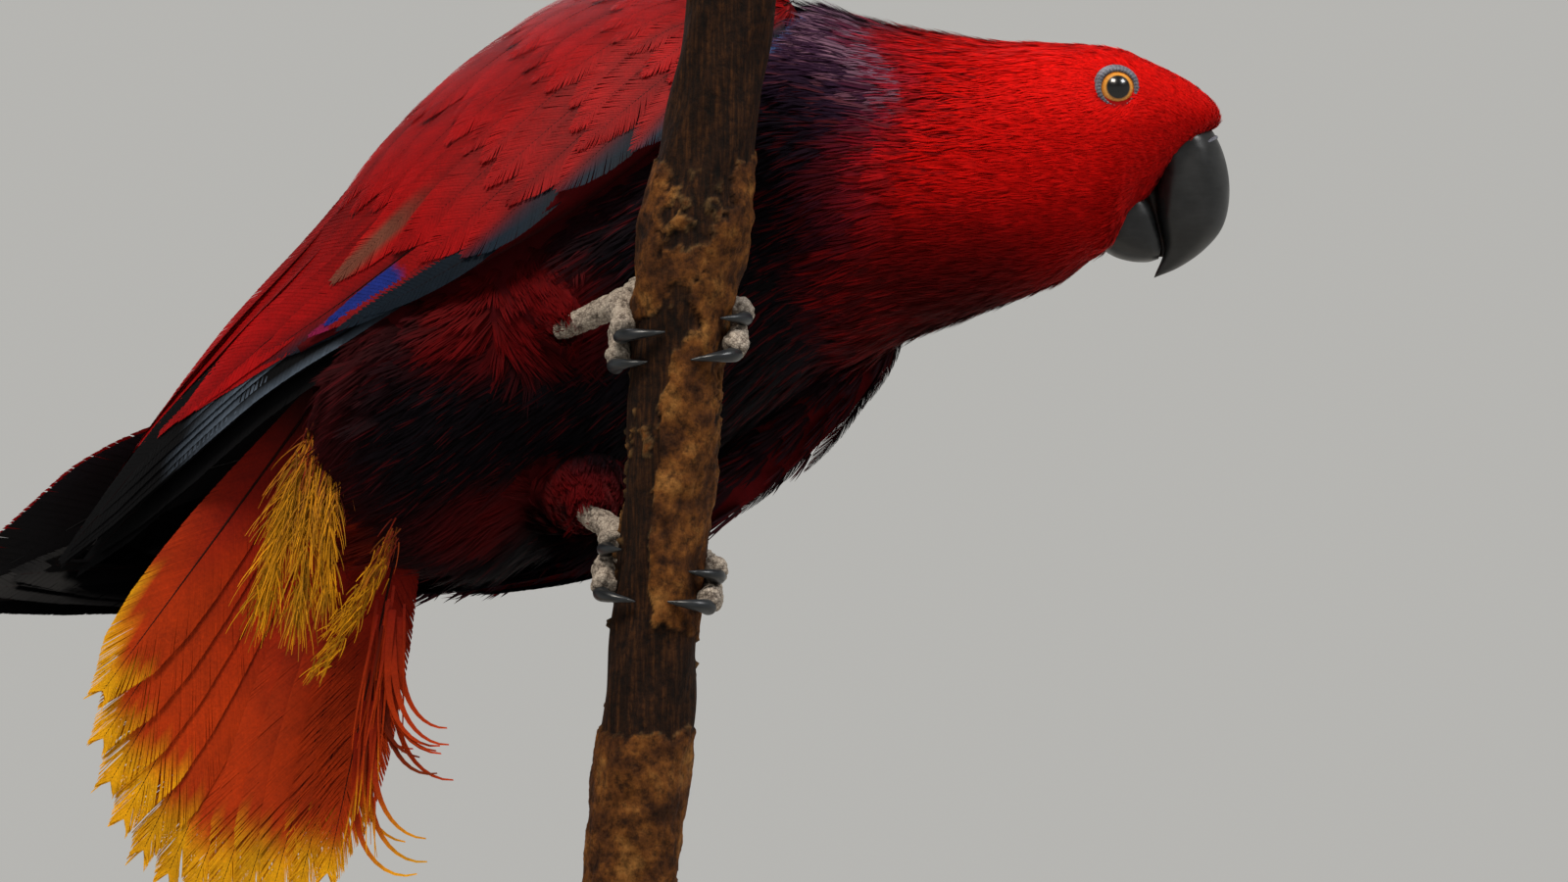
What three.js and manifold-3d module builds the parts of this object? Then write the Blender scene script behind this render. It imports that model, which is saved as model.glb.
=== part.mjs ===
// A female eclectus parrot at life size, clinging to a cut length of upright branch
// on a plain display stand.
// Millimetres, +Z up. The head points to +X, and the belly and the right side face -Y.
// The origin is the middle of the stand's underside.
import * as THREE from "three";
import Module from "manifold-3d";

const wasm = await Module();
wasm.setup();

// Fits between neighbouring pieces.
const GAP = 0.3;
const VANE_THICKNESS = 0.7;

// Edges shorter than one of these are merged away in a finished solid: the first that leaves it sound.
const SLIVERS = [0.04, 0.03, 0.05, 0.02, 0.06, 0.08, 0.01];

// The stand: a flat base, and one short rod up into the foot of the branch.
const BASE = { width: 190, depth: 150, height: 12, corner: 14 };
const ROD_RADIUS = 5;

// The branch leans a little to +X as it rises. Its axis stays in one upright plane.
const BRANCH = { y: -45, bottom: 22, top: 267, radius: 12 };

// The trunk's own frame: its centre, the rise of its long axis, and the roll that turns the belly
// to the viewer.
const TRUNK = { centre: [4, 31, 183], pitch: 34, roll: 50 };

// Flesh colours and finishes.
const COLOURS = {
  red: [0x9c0a12, 0.75, 0],
  crimson: [0x7d0a12, 0.7, 0],
  violet: [0x33203c, 0.8, 0],
  orange: [0xc8400f, 0.7, 0],
  bill: [0x26282b, 0.35, 0],
  tongue: [0x2a1c1c, 0.4, 0],
  eye: [0x120d0a, 0.1, 0],
  foot: [0x8d8480, 0.8, 0],
  claw: [0x2d3338, 0.35, 0],
  bark: [0x6f4a26, 0.9, 0],
  stand: [0xd8d4cc, 0.5, 0],
  steel: [0x9aa0a6, 0.35, 0.9],
};

const v = (x, y, z) => new THREE.Vector3(x, y, z);
const rad = THREE.MathUtils.degToRad;
const mix = THREE.MathUtils.lerp;

// Closed surfaces

// A solid from points and triangles, turned round if its faces point inwards.
function solidOf(points, triangles) {
  const build = (flip) => {
    const triVerts = new Uint32Array(triangles.length * 3);
    triangles.forEach(([a, b, c], i) => triVerts.set(flip ? [a, c, b] : [a, b, c], i * 3));
    const vertProperties = new Float32Array(points.flatMap((p) => [p.x, p.y, p.z]));
    return new wasm.Manifold(new wasm.Mesh({ numProp: 3, vertProperties, triVerts }));
  };
  const made = build(false);
  return made.volume() < 0 ? build(true) : made;
}

// A skin drawn over rings of equal count, with its ends closed by the given cap.
function loft(rings, cap = fanCap) {
  const count = rings[0].length;
  const points = rings.flat();
  const triangles = [];
  for (let i = 0; i + 1 < rings.length; i += 1) {
    for (let j = 0; j < count; j += 1) {
      const [a, b] = [i * count + j, i * count + ((j + 1) % count)];
      triangles.push([a, b, b + count], [a, b + count, a + count]);
    }
  }
  triangles.push(...cap(points, 0, count).map(([a, b, c]) => [b, a, c]));
  triangles.push(...cap(points, (rings.length - 1) * count, count));
  return solidOf(points, triangles);
}

// An end closed by a fan round its middle.
function fanCap(points, start, count) {
  const middle = points.length;
  const sum = points.slice(start, start + count).reduce((s, p) => s.add(p), v(0, 0, 0));
  points.push(sum.divideScalar(count));
  return Array.from({ length: count }, (_, j) => [start + j, start + ((j + 1) % count), middle]);
}

// An end of a thin curved band, closed by rungs between its two long sides.
function rungCap(points, start, count) {
  const last = start + count - 1;
  return Array.from({ length: count / 2 - 1 }, (_, j) => [
    [start + j, start + j + 1, last - j - 1],
    [start + j, last - j - 1, last - j],
  ]).flat();
}

// A thin plate along a path, split into triangles alike on both faces.
// Each frame has a centre, a side direction, a face normal and a half width.
function vane(frames, thickness = VANE_THICKNESS) {
  const points = frames.flatMap(({ centre, side, normal, half }) => {
    const corner = (s, n) =>
      centre.clone().addScaledVector(side, s * half).addScaledVector(normal, (n * thickness) / 2);
    return [corner(-1, 1), corner(1, 1), corner(1, -1), corner(-1, -1)];
  });
  const triangles = [];
  const last = (frames.length - 1) * 4;
  for (let k = 0; k < last; k += 4) {
    triangles.push([k, k + 1, k + 5], [k, k + 5, k + 4]);
    triangles.push([k + 3, k + 6, k + 2], [k + 3, k + 7, k + 6]);
    triangles.push([k + 1, k + 2, k + 6], [k + 1, k + 6, k + 5]);
    triangles.push([k, k + 7, k + 3], [k, k + 4, k + 7]);
  }
  triangles.push([0, 2, 1], [0, 3, 2], [last, last + 1, last + 2], [last, last + 2, last + 3]);
  return solidOf(points, triangles);
}

// A tube along a path: each step has a centre, a radius, and a squash across its reference direction.
function tube(steps, sides = 10) {
  const rings = steps.map(({ centre, radius, reference, squash = 1 }, i) => {
    const before = steps[Math.max(0, i - 1)].centre;
    const after = steps[Math.min(steps.length - 1, i + 1)].centre;
    const along = after.clone().sub(before).normalize();
    const out = reference.clone().addScaledVector(along, -reference.dot(along)).normalize();
    const across = along.clone().cross(out);
    return ringOf(centre, out, across, radius * squash, radius, 2, sides);
  });
  return loft(rings);
}

// A rounded ring: power 2 is an ellipse, and more is squarer.
function ringOf(centre, first, second, halfFirst, halfSecond, power, count) {
  return Array.from({ length: count }, (_, j) => {
    const angle = (j / count) * 2 * Math.PI;
    const [c, s] = [Math.cos(angle), Math.sin(angle)];
    const round = (n) => Math.sign(n) * Math.abs(n) ** (2 / power);
    return centre
      .clone()
      .addScaledVector(first, halfFirst * round(c))
      .addScaledVector(second, halfSecond * round(s));
  });
}

// A ball, as a loft of rings along one axis.
function ball(centre, radius, sides = 14, squash = 1, axis = v(0, 1, 0)) {
  const geometry = new THREE.SphereGeometry(radius, sides, Math.round(sides * 0.6));
  geometry.scale(1, squash, 1);
  geometry.applyQuaternion(new THREE.Quaternion().setFromUnitVectors(v(0, 1, 0), axis));
  geometry.translate(centre.x, centre.y, centre.z);
  return fromGeometry(geometry);
}

// A solid from one of three.js's closed geometries, its doubled points merged by place.
function fromGeometry(geometry) {
  const place = geometry.getAttribute("position");
  const seen = new Map();
  const points = [];
  const index = Array.from({ length: place.count }, (_, i) => {
    const key = [place.getX(i), place.getY(i), place.getZ(i)].map((n) => n.toFixed(4)).join();
    if (!seen.has(key)) {
      seen.set(key, points.length);
      points.push(v(place.getX(i), place.getY(i), place.getZ(i)));
    }
    return seen.get(key);
  });
  const order = geometry.index ? Array.from(geometry.index.array) : index.map((_, i) => i);
  const triangles = [];
  for (let i = 0; i < order.length; i += 3) {
    const [a, b, c] = [index[order[i]], index[order[i + 1]], index[order[i + 2]]];
    if (a !== b && b !== c && a !== c) triangles.push([a, b, c]);
  }
  return solidOf(points, triangles);
}

const join = (solids) => wasm.Manifold.union(solids);

// The largest closed surface of a solid.
function largest(solid) {
  return solid.decompose().reduce((best, part) => (part.volume() > best.volume() ? part : best));
}

// Whether every edge of a solid still joins just two triangles when its corners are rounded.
function isSound(solid, decimals) {
  const { vertProperties, triVerts, numProp } = solid.getMesh();
  const grid = 10 ** decimals;
  const key = (i) => [0, 1, 2].map((n) => Math.round(vertProperties[i * numProp + n] * grid)).join();
  const uses = new Map();
  for (let t = 0; t < triVerts.length; t += 3) {
    const corners = [0, 1, 2].map((n) => key(triVerts[t + n]));
    if (new Set(corners).size < 3) continue;
    for (let n = 0; n < 3; n += 1) {
      const edge = [corners[n], corners[(n + 1) % 3]].sort().join("/");
      uses.set(edge, (uses.get(edge) ?? 0) + 1);
    }
  }
  return [...uses.values()].every((count) => count === 2);
}

// A solid without slivers or stray bits.
function cleaned(solid) {
  const tries = SLIVERS.map((size) => () => largest(solid.simplify(size)));
  for (const attempt of tries) {
    const tidy = attempt();
    if (isSound(tidy, 4) && isSound(tidy, 3)) return tidy;
  }
  return largest(solid);
}

// Smooth tables

// The row of values at a key, blended by cubics through rows of [key, ...values].
function rowAt(rows, key) {
  const last = rows.length - 1;
  const rising = rows[last][0] > rows[0][0];
  const ends = rising ? [rows[0][0], rows[last][0]] : [rows[last][0], rows[0][0]];
  const at = THREE.MathUtils.clamp(key, ends[0], ends[1]);
  let i = 0;
  while (i < last - 1 && (rising ? rows[i + 1][0] < at : rows[i + 1][0] > at)) i += 1;
  const [p, q] = [rows[i], rows[i + 1]];
  const span = q[0] - p[0];
  const t = (at - p[0]) / span;
  const slope = (k, column) => {
    const [a, b] = [rows[Math.max(0, k - 1)], rows[Math.min(last, k + 1)]];
    return (b[column] - a[column]) / (b[0] - a[0]);
  };
  return p.slice(1).map((start, c) => {
    const [t2, t3] = [t * t, t * t * t];
    const column = c + 1;
    return (
      start * (2 * t3 - 3 * t2 + 1) +
      q[column] * (3 * t2 - 2 * t3) +
      slope(i, column) * span * (t3 - 2 * t2 + t) +
      slope(i + 1, column) * span * (t3 - t2)
    );
  });
}

// The bird's frames

// Axes of a section: along the body, to its right side, and to its back.
function axesOf(pitch, roll) {
  const along = v(Math.cos(rad(pitch)), 0, Math.sin(rad(pitch)));
  const rise = v(-Math.sin(rad(pitch)), 0, Math.cos(rad(pitch)));
  const away = v(0, 1, 0);
  const back = rise.clone().multiplyScalar(Math.cos(rad(roll))).addScaledVector(away, Math.sin(rad(roll)));
  return { along, back, right: along.clone().cross(back) };
}

const trunkAxes = axesOf(TRUNK.pitch, TRUNK.roll);

// A point of the trunk's frame: along the body, to the right, and to the back.
function trunkPoint(along, right, back) {
  return v(...TRUNK.centre)
    .addScaledVector(trunkAxes.along, along)
    .addScaledVector(trunkAxes.right, right)
    .addScaledVector(trunkAxes.back, back);
}

// Trunk sections from the vent to the shoulders: along, shift to the back, half width, half depth.
const TRUNK_SECTIONS = [
  [-101, -17, 4, 3],
  [-97, -15.5, 15, 12],
  [-88, -11, 28, 22],
  [-76, -4, 42, 37],
  [-58, 3, 51, 46.5],
  [-30, 6, 54, 51],
  [0, 6.5, 54.5, 52],
  [27, 6, 54, 52],
];

// Sections from the shoulders to the forehead: place, pitch, roll, half width, half depth, squareness.
const NECK_SECTIONS = [
  [46.5, 29, 208.5, 22, 40, 50, 51.5, 2.05],
  [69.3, 21, 207, 6, 22, 38.5, 41.5, 2.1],
  [91.3, 12, 208, 0, 8, 31, 35.5, 2.2],
  [110, 5, 211, 0, 1, 26.5, 31, 2.3],
  [120, 2.5, 213.7, -2, 0, 24, 28.4, 2.4],
  [125.5, 1.5, 214.4, -4, 0, 22.5, 27, 2.4],
  [130.5, 1, 217, -8, 0, 20, 20, 2.4],
  [136.3, 1, 218.4, -12, 0, 16.5, 15, 2.3],
  [142, 1, 219.2, -24, 0, 12, 10.2, 2.2],
  [146.8, 1, 219.4, -40, 0, 7.4, 5, 2.1],
  [149.8, 1, 219.3, -55, 0, 2, 1.6, 2],
];

// All body sections, keyed by the distance along the line of their centres.
function bodyRows() {
  const trunk = TRUNK_SECTIONS.map(([along, shift, width, depth]) => [
    ...trunkPoint(along, 0, shift).toArray(), TRUNK.pitch, TRUNK.roll, width, depth, 2,
  ]);
  let walked = 0;
  return [...trunk, ...NECK_SECTIONS].map((row, i, rows) => {
    if (i > 0) walked += v(...row).distanceTo(v(...rows[i - 1]));
    return [walked, ...row];
  });
}

const BODY_ROWS = bodyRows();
const BODY_LENGTH = BODY_ROWS[BODY_ROWS.length - 1][0];
const BODY_STEPS = 40;
const BODY_SIDES = 26;

// The whole body from vent to forehead, grown outwards by a margin.
function bodySolid(margin) {
  const rings = [];
  for (let i = 0; i <= BODY_STEPS; i += 1) {
    const share = i / BODY_STEPS;
    const eased = share - 0.06 * Math.sin(2 * Math.PI * share);
    const [x, y, z, pitch, roll, width, depth, power] = rowAt(BODY_ROWS, eased * BODY_LENGTH);
    const { right, back } = axesOf(pitch, roll);
    rings.push(ringOf(v(x, y, z), right, back, width + margin, depth + margin, power, BODY_SIDES));
  }
  return loft(rings);
}

// A half space beyond a plane, as a big block.
function blockBeyond(point, normal) {
  const size = 400;
  const box = new THREE.BoxGeometry(size, size, size);
  box.translate(0, size / 2, 0);
  box.applyQuaternion(new THREE.Quaternion().setFromUnitVectors(v(0, 1, 0), normal.clone().normalize()));
  box.translate(point.x, point.y, point.z);
  return fromGeometry(box);
}

// The bill and the eyes

// Sections of a bill half: outer point and inner point in the upright plane, and half width.
const UPPER_BILL = [
  [141, 223, 131, 213, 8.5],
  [147.5, 221, 134.5, 212.5, 10],
  [151.3, 215.5, 136, 208.5, 10.8],
  [153.4, 208, 135.4, 204, 10.8],
  [153.5, 200.5, 135.2, 198.5, 10],
  [151.6, 194, 136, 194, 8.6],
  [147, 188.6, 137, 190.2, 6.4],
  [140.8, 184.3, 136.6, 187, 3.6],
  [134.4, 181.6, 134.9, 183, 0.6],
];
const LOWER_BILL = [
  [115, 196, 122, 207, 7.5],
  [119.5, 190.6, 127, 205.3, 9.4],
  [123.5, 187.4, 131, 203.3, 9.8],
  [128, 185.9, 134, 199, 9.2],
  [132.5, 185.6, 135.4, 194, 7.8],
  [135.5, 186.4, 136.2, 190, 5.6],
];
const HEAD_Y = 1;

// A bill half from its sections, grown outwards by a margin.
function billSolid(sections, margin) {
  const rings = sections.map(([outerX, outerZ, innerX, innerZ, width]) => {
    const [outer, inner] = [v(outerX, HEAD_Y, outerZ), v(innerX, HEAD_Y, innerZ)];
    const depth = outer.clone().sub(inner);
    const half = depth.length() / 2 + margin;
    const centre = outer.clone().add(inner).multiplyScalar(0.5);
    return ringOf(centre, depth.normalize(), v(0, 1, 0), half, width + margin, 2.3, 20);
  });
  return loft(rings);
}

// The tongue, between the two halves of the bill: its back end, its tip, and its half sizes.
const TONGUE = { back: [127, 1, 209.5], tip: [134.6, 1, 196], width: 4.2, depth: 2 };

function tongueSolid(margin) {
  const [back, tip] = [v(...TONGUE.back), v(...TONGUE.tip)];
  const steps = [0.7, 1, 1, 0.75, 0.3].map((share, i) => ({
    centre: back.clone().lerp(tip, i / 4),
    radius: TONGUE.width * share + margin,
    squash: (TONGUE.depth * share + margin) / (TONGUE.width * share + margin),
    reference: v(1, 0, 0.5),
  }));
  return tube(steps, 12);
}

const EYE = { x: 124.6, z: 229.4, y: 14.6, radius: 6, lidRadius: 5.3, lidTube: 1.1, tilt: 0.16 };

// One eyeball and the ring of its lids. The sign is -1 for the right side and 1 for the left.
function eyeOf(sign, margin) {
  return ball(v(EYE.x, HEAD_Y + sign * EYE.y, EYE.z), EYE.radius + margin, 14);
}

function lidOf(sign) {
  const torus = new THREE.TorusGeometry(EYE.lidRadius, EYE.lidTube, 6, 16);
  const gaze = v(0.12, sign, EYE.tilt).normalize();
  torus.applyQuaternion(new THREE.Quaternion().setFromUnitVectors(v(0, 0, 1), gaze));
  const out = v(EYE.x, HEAD_Y + sign * EYE.y, EYE.z).addScaledVector(gaze, 3.6);
  torus.translate(out.x, out.y, out.z);
  return fromGeometry(torus);
}

// The wings

// Lines of the folded right wing's outer face in the trunk's frame, by place along the body:
// leading edge, bulge, crest and back edge, each as right and back.
const WING_ROWS = [
  [69, 40, 2, 42, 10, 39, 20, 31, 30],
  [50, 49, -11, 54, 10, 50, 33, 33, 47],
  [25, 52, -21, 60.5, 10, 53, 44, 28, 60],
  [-9, 53.5, -24, 61, 9.5, 53.5, 45, 25, 61.5],
  [-36, 51, -20, 58, 9, 50, 42.5, 22, 57],
  [-66, 45.5, -7, 47.5, 15, 41.5, 37.5, 16, 51],
  [-96, 37, 8.5, 38, 21, 32.5, 36.5, 9, 47.5],
  [-125, 26, 17, 26.5, 26, 21.5, 37, 5, 44.5],
  [-150, 14.5, 23.5, 15, 29, 12.5, 33.5, 3, 38.5],
  [-178, 3, 31, 3.2, 31.5, 3, 32, 2, 33],
];

// The left wing droops a little more and lies further back. Its rear part swings over the rump:
// each swing is back along the body, inwards at the leading and back edges, and up off the back there.
const WING_SET = {
  right: { sign: 1, out: 0, drop: 0, slide: 0, swing: [0, 0, 0, 0, 0] },
  left: { sign: -1, out: 7, drop: 7, slide: -9, swing: [13, 5, 11, 9, 9] },
};

// A point on a wing's outer face. Share runs from the leading edge at 0 to the back edge at 1.
function wingPoint(set, along, share, lift) {
  const row = rowAt(WING_ROWS, along);
  const lines = [0, 1, 2, 3].map((i) => [i / 3, row[i * 2], row[i * 2 + 1]]);
  const slack = 1e-3;
  const [right, back] = rowAt(lines, share);
  const [before, after] = [rowAt(lines, share - slack), rowAt(lines, share + slack)];
  const across = v(after[0] - before[0], after[1] - before[1], 0).normalize();
  const fade = THREE.MathUtils.clamp((along + 190) / 120, 0, 1);
  const rear = THREE.MathUtils.smoothstep(-along, 40, 125);
  const [slide, frontIn, backIn, frontUp, backUp] = set.swing.map((n) => n * rear);
  const outward = right + across.y * lift + set.out * fade - mix(frontIn, backIn, share);
  const backward = back - across.x * lift - set.drop * fade + mix(frontUp, backUp, share);
  return trunkPoint(along + set.slide - slide, set.sign * outward, backward);
}

// Plan shape of a long feather, narrow at its root and round at its tip.
const PLUME_SHAPE = [0.35, 0.85, 1, 0.95, 0.45];

// A feather lying on a wing between two places, each [along, share, lift], rolled about its own line.
function wingVane(set, root, tip, half, roll, shape = PLUME_SHAPE) {
  const steps = shape.length - 1;
  const place = (k) => wingPoint(set, ...root.map((n, i) => mix(n, tip[i], k)));
  const frames = shape.map((width, i) => {
    const k = i / steps;
    const here = root.map((n, j) => mix(n, tip[j], k));
    const along = place(Math.min(1, k + 0.02)).sub(place(Math.max(0, k - 0.02))).normalize();
    const share = THREE.MathUtils.clamp(here[1], 0.03, 0.97);
    const toBack = wingPoint(set, here[0], share + 0.02, here[2])
      .sub(wingPoint(set, here[0], share - 0.02, here[2]));
    const side = toBack.addScaledVector(along, -toBack.dot(along)).normalize();
    const normal = side.clone().cross(along).normalize();
    const turned = side.clone().applyAxisAngle(along, set.sign * rad(roll));
    const face = normal.clone().applyAxisAngle(along, set.sign * rad(roll));
    return { centre: place(k), side: turned, normal: face, half: half * width };
  });
  return vane(frames);
}

// Feather tiers of a wing, from the lowest to the top one: each end is [along, share, lift] for the
// feather nearest the leading edge and for the one nearest the back.
const WING_TIERS = [
  { name: "primaries", count: 6, half: 8, roll: -5,
    root: [[-18, 0.1, -5.5], [-18, 0.42, -4.6]], tip: [[-174, 0.1, -2.2], [-132, 0.62, -0.6]] },
  { name: "secondaries", count: 5, half: 10.5, roll: -6,
    root: [[4, 0.2, -5], [6, 0.9, -5]], tip: [[-112, 0.16, -0.6], [-145, 0.86, 0.4]] },
  { name: "inner_flights", count: 2, half: 10, roll: 4,
    root: [[-24, 0.2, -8], [-24, 0.5, -8]], tip: [[-150, 0.1, -13], [-112, 0.2, -17]] },
  { name: "primary_coverts", count: 3, half: 5.5, roll: -5,
    root: [[-18, 0.1, -4.5], [-18, 0.26, -4.5]], tip: [[-72, 0.03, -0.3], [-66, 0.2, 0.3]] },
  { name: "greater_coverts", count: 5, half: 10.5, roll: -6,
    root: [[14, 0.22, -4.5], [18, 1, -4.5]], tip: [[-48, 0.04, 1], [-62, 0.9, 1.2]] },
  { name: "median_coverts", count: 4, half: 12, roll: -6,
    root: [[38, 0.2, -4], [44, 1, -4]], tip: [[-16, 0.06, 1.9], [-24, 0.92, 2]] },
];

// The flesh and lesser coverts of a wing, under its tiers: a padded plate from the bend backwards.
const CORE = { from: 70, to: -84, steps: 11, skin: -0.9, thick: 15, thin: 3.2, sides: 6 };

function wingCore(set) {
  const rings = [];
  for (let i = 0; i <= CORE.steps; i += 1) {
    const k = i / CORE.steps;
    const along = mix(CORE.from, CORE.to, k);
    const full = THREE.MathUtils.clamp((1 - k) * 1.9, 0, 1);
    const thickness = mix(CORE.thin, CORE.thick, full) * Math.min(1, 0.45 + k * 7);
    const narrow = k < 0.06 ? 0.2 : 0.02;
    const ring = [];
    for (let j = 0; j <= CORE.sides; j += 1) {
      ring.push(wingPoint(set, along, mix(narrow, 1 - narrow, j / CORE.sides), CORE.skin));
    }
    for (let j = CORE.sides; j >= 0; j -= 1) {
      const share = mix(narrow + 0.04, 0.96 - narrow, j / CORE.sides);
      ring.push(wingPoint(set, along, share, CORE.skin - thickness));
    }
    rings.push(ring);
  }
  return loft(rings, rungCap);
}

function wingSolid(set, body) {
  const pieces = [wingCore(set)];
  for (const tier of WING_TIERS) {
    for (let i = 0; i < tier.count; i += 1) {
      const k = i / (tier.count - 1);
      const between = ([first, last]) => first.map((n, j) => mix(n, last[j], k));
      const tip = between(tier.tip);
      // The outermost feather of a tier is a little shorter than its neighbours.
      if (i === 0) tip[0] += 9;
      pieces.push(wingVane(set, between(tier.root), tip, tier.half, tier.roll));
    }
  }
  return largest(join(pieces).subtract(body));
}

// The tail

const TAIL = {
  root: [-63, 38, 155], lean: 22, spread: 14, rootSpread: 12, approach: -5,
  feathers: 12, lengths: [106, 141, 127], half: 9.5, layer: 0.85,
};

// Directions of the tail: down along its middle, and to the bird's right.
const tailDown = v(
  -Math.sin(rad(TAIL.lean)), Math.tan(rad(TAIL.approach)), -Math.cos(rad(TAIL.lean)),
).normalize();
const tailRight = v(-Math.cos(rad(TAIL.lean)), 0, Math.sin(rad(TAIL.lean)));

// One tail feather. Place runs from 1 at the bird's right edge to -1 at its left.
function tailVane(place, layer) {
  const facing = tailRight.clone().cross(tailDown).normalize();
  const toViewer = facing.y < 0 ? facing : facing.clone().negate();
  const angle = rad(TAIL.spread * place);
  const along = tailDown.clone().multiplyScalar(Math.cos(angle))
    .addScaledVector(tailRight, Math.sin(angle));
  const side = along.clone().cross(toViewer).normalize();
  const root = v(...TAIL.root)
    .addScaledVector(tailRight, TAIL.rootSpread * place)
    .addScaledVector(toViewer, layer * TAIL.layer);
  const [outerRight, middle, outerLeft] = TAIL.lengths;
  const edge = Math.abs(place) ** 1.8;
  const length = mix(middle, place > 0 ? outerRight : outerLeft, edge);
  const shape = [0.3, 0.55, 0.8, 1, 1, 0.6];
  return vane(shape.map((width, i) => {
    const k = i / (shape.length - 1);
    const sag = 5 * Math.sin(k * Math.PI);
    const centre = root.clone().addScaledVector(along, length * k).addScaledVector(toViewer, -sag * 0.6);
    return { centre, side, normal: toViewer, half: TAIL.half * width };
  }));
}

// The flesh and short coverts that the tail feathers grow from: a flat wedge that widens downwards.
function tailRoot() {
  const facing = v(0, -1, 0);
  const rings = [0, 15, 30, 45, 58].map((down, i) => {
    const centre = v(...TAIL.root).addScaledVector(tailDown, down).addScaledVector(facing, 2.6);
    const half = TAIL.rootSpread + down * Math.tan(rad(TAIL.spread)) + 3;
    return ringOf(centre, tailRight, facing, half, [5, 5, 4.6, 3.8, 2.6][i], 3, 16);
  });
  return loft(rings);
}

function tailSolid(body) {
  const pieces = [tailRoot()];
  for (let i = 0; i < TAIL.feathers; i += 1) {
    const place = 1 - (2 * i) / (TAIL.feathers - 1);
    const layer = Math.abs(place) * 6 + (place < 0 ? 0.45 : 0);
    pieces.push(tailVane(place, layer));
  }
  return largest(join(pieces).subtract(body));
}

// Feathers that grow from the rear of the trunk over both faces of the tail.
// Each is [root along, root right, root back], [tip x, y, z] and half width.
const VENT_FEATHERS = [
  [[-92, 20, -14], [-100, 8, 126], 6],
  [[-94, 14, -18], [-94, 3, 110], 7],
  [[-94, 6, -20], [-86, 0, 98], 7],
  [[-95, -2, -22], [-84, -3, 88], 6.5],
  [[-93, -10, -22], [-78, -4, 92], 6.5],
  [[-92, -17, -20], [-72, -3, 100], 6],
];
const VENT_SHAPE = [0.5, 0.85, 1, 0.95, 0.5];

function ventVane([root, tip, half]) {
  const start = trunkPoint(...root);
  const end = v(...tip);
  const frames = VENT_SHAPE.map((width, i) => {
    const k = i / (VENT_SHAPE.length - 1);
    const centre = start.clone().lerp(end, k);
    centre.y -= 7 * Math.sin(k * Math.PI * 0.8);
    return { centre, side: v(0.9, 0.1, 0.42).normalize(), normal: v(0, -1, 0), half: half * width };
  });
  return vane(frames, 1);
}

// The branch, and what grips it

const BRANCH_ROWS = [
  [22, 0.8, 11.6],
  [60, 4.6, 12.4],
  [100, 8.2, 11.2],
  [140, 11.8, 11.8],
  [168, 13.8, 12.4],
  [190, 16.8, 14],
  [212, 20.6, 12.6],
  [240, 25, 11.8],
  [267, 29.5, 12.2],
];

// A point beside the branch: the angle is measured from its back, towards -X for side 1.
function besideBranch(height, angle, distance, side = 1) {
  const [x, radius] = rowAt(BRANCH_ROWS, height);
  const reach = radius + distance;
  return v(x - side * Math.sin(rad(angle)) * reach, BRANCH.y + Math.cos(rad(angle)) * reach, height);
}

function branchSolid(margin) {
  const steps = 20;
  const rings = [];
  for (let i = 0; i <= steps; i += 1) {
    const k = i / steps;
    const height = mix(BRANCH.bottom, BRANCH.top, k);
    const [x, radius] = rowAt(BRANCH_ROWS, height);
    const shown = height + (k === 0 ? -margin : k === 1 ? margin : 0);
    const ring = Array.from({ length: 18 }, (_, j) => {
      const angle = (j / 18) * 2 * Math.PI;
      const bump = 0.5 * Math.sin(3 * angle + height * 0.11) + 0.35 * Math.sin(5 * angle - height * 0.23);
      const reach = radius + bump + margin;
      return v(x + Math.cos(angle) * reach, BRANCH.y + Math.sin(angle) * reach, shown);
    });
    rings.push(ring);
  }
  return loft(rings);
}

// Legs: heel, foot base, thigh start, and toes as [side, start height, end height, end angle, claw drop].
const LEGS = {
  right: {
    thigh: [-24, 8, 181], thighRadius: 15, heel: [-15.5, -23, 168.5], pad: [176, 30],
    toes: [
      [1, 178, 167.5, 118, 1], [1, 171, 160, 98, 1], [-1, 175, 163, 118, -1.5], [-1, 178, 172, 84, 0],
    ],
  },
  left: {
    thigh: [-12, 22, 131], thighRadius: 15, heel: [-10, -21, 121.5], pad: [113, 30],
    toes: [
      [1, 111, 103, 106, -2], [1, 117, 114, 74, 0], [-1, 112, 107, 96, 1.5], [-1, 106, 99.5, 122, 1.5],
    ],
  },
};
const TOE = { radius: 4, tipRadius: 3.1, start: 30, steps: 6, press: 0.35, knuckle: 0.35 };
const CLAW = { radius: 1.9, tip: 0.35, reach: 50, steps: 5, lift: 1.4 };
const TARSUS_RADIUS = 4.4;

function toeSolid([side, startHeight, endHeight, endAngle]) {
  const steps = Array.from({ length: TOE.steps + 1 }, (_, i) => {
    const k = i / TOE.steps;
    const radius = mix(TOE.radius, TOE.tipRadius, k) + TOE.knuckle * Math.cos(k * 4 * Math.PI);
    const angle = mix(side * TOE.start, endAngle, k);
    const height = mix(startHeight, endHeight, k ** 1.3);
    const centre = besideBranch(height, angle, radius - TOE.press, side);
    const [x] = rowAt(BRANCH_ROWS, height);
    const reference = centre.clone().sub(v(x, BRANCH.y, height));
    return { centre, radius: k === 1 ? radius * 0.8 : radius, reference };
  });
  return tube(steps, 7);
}

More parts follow.
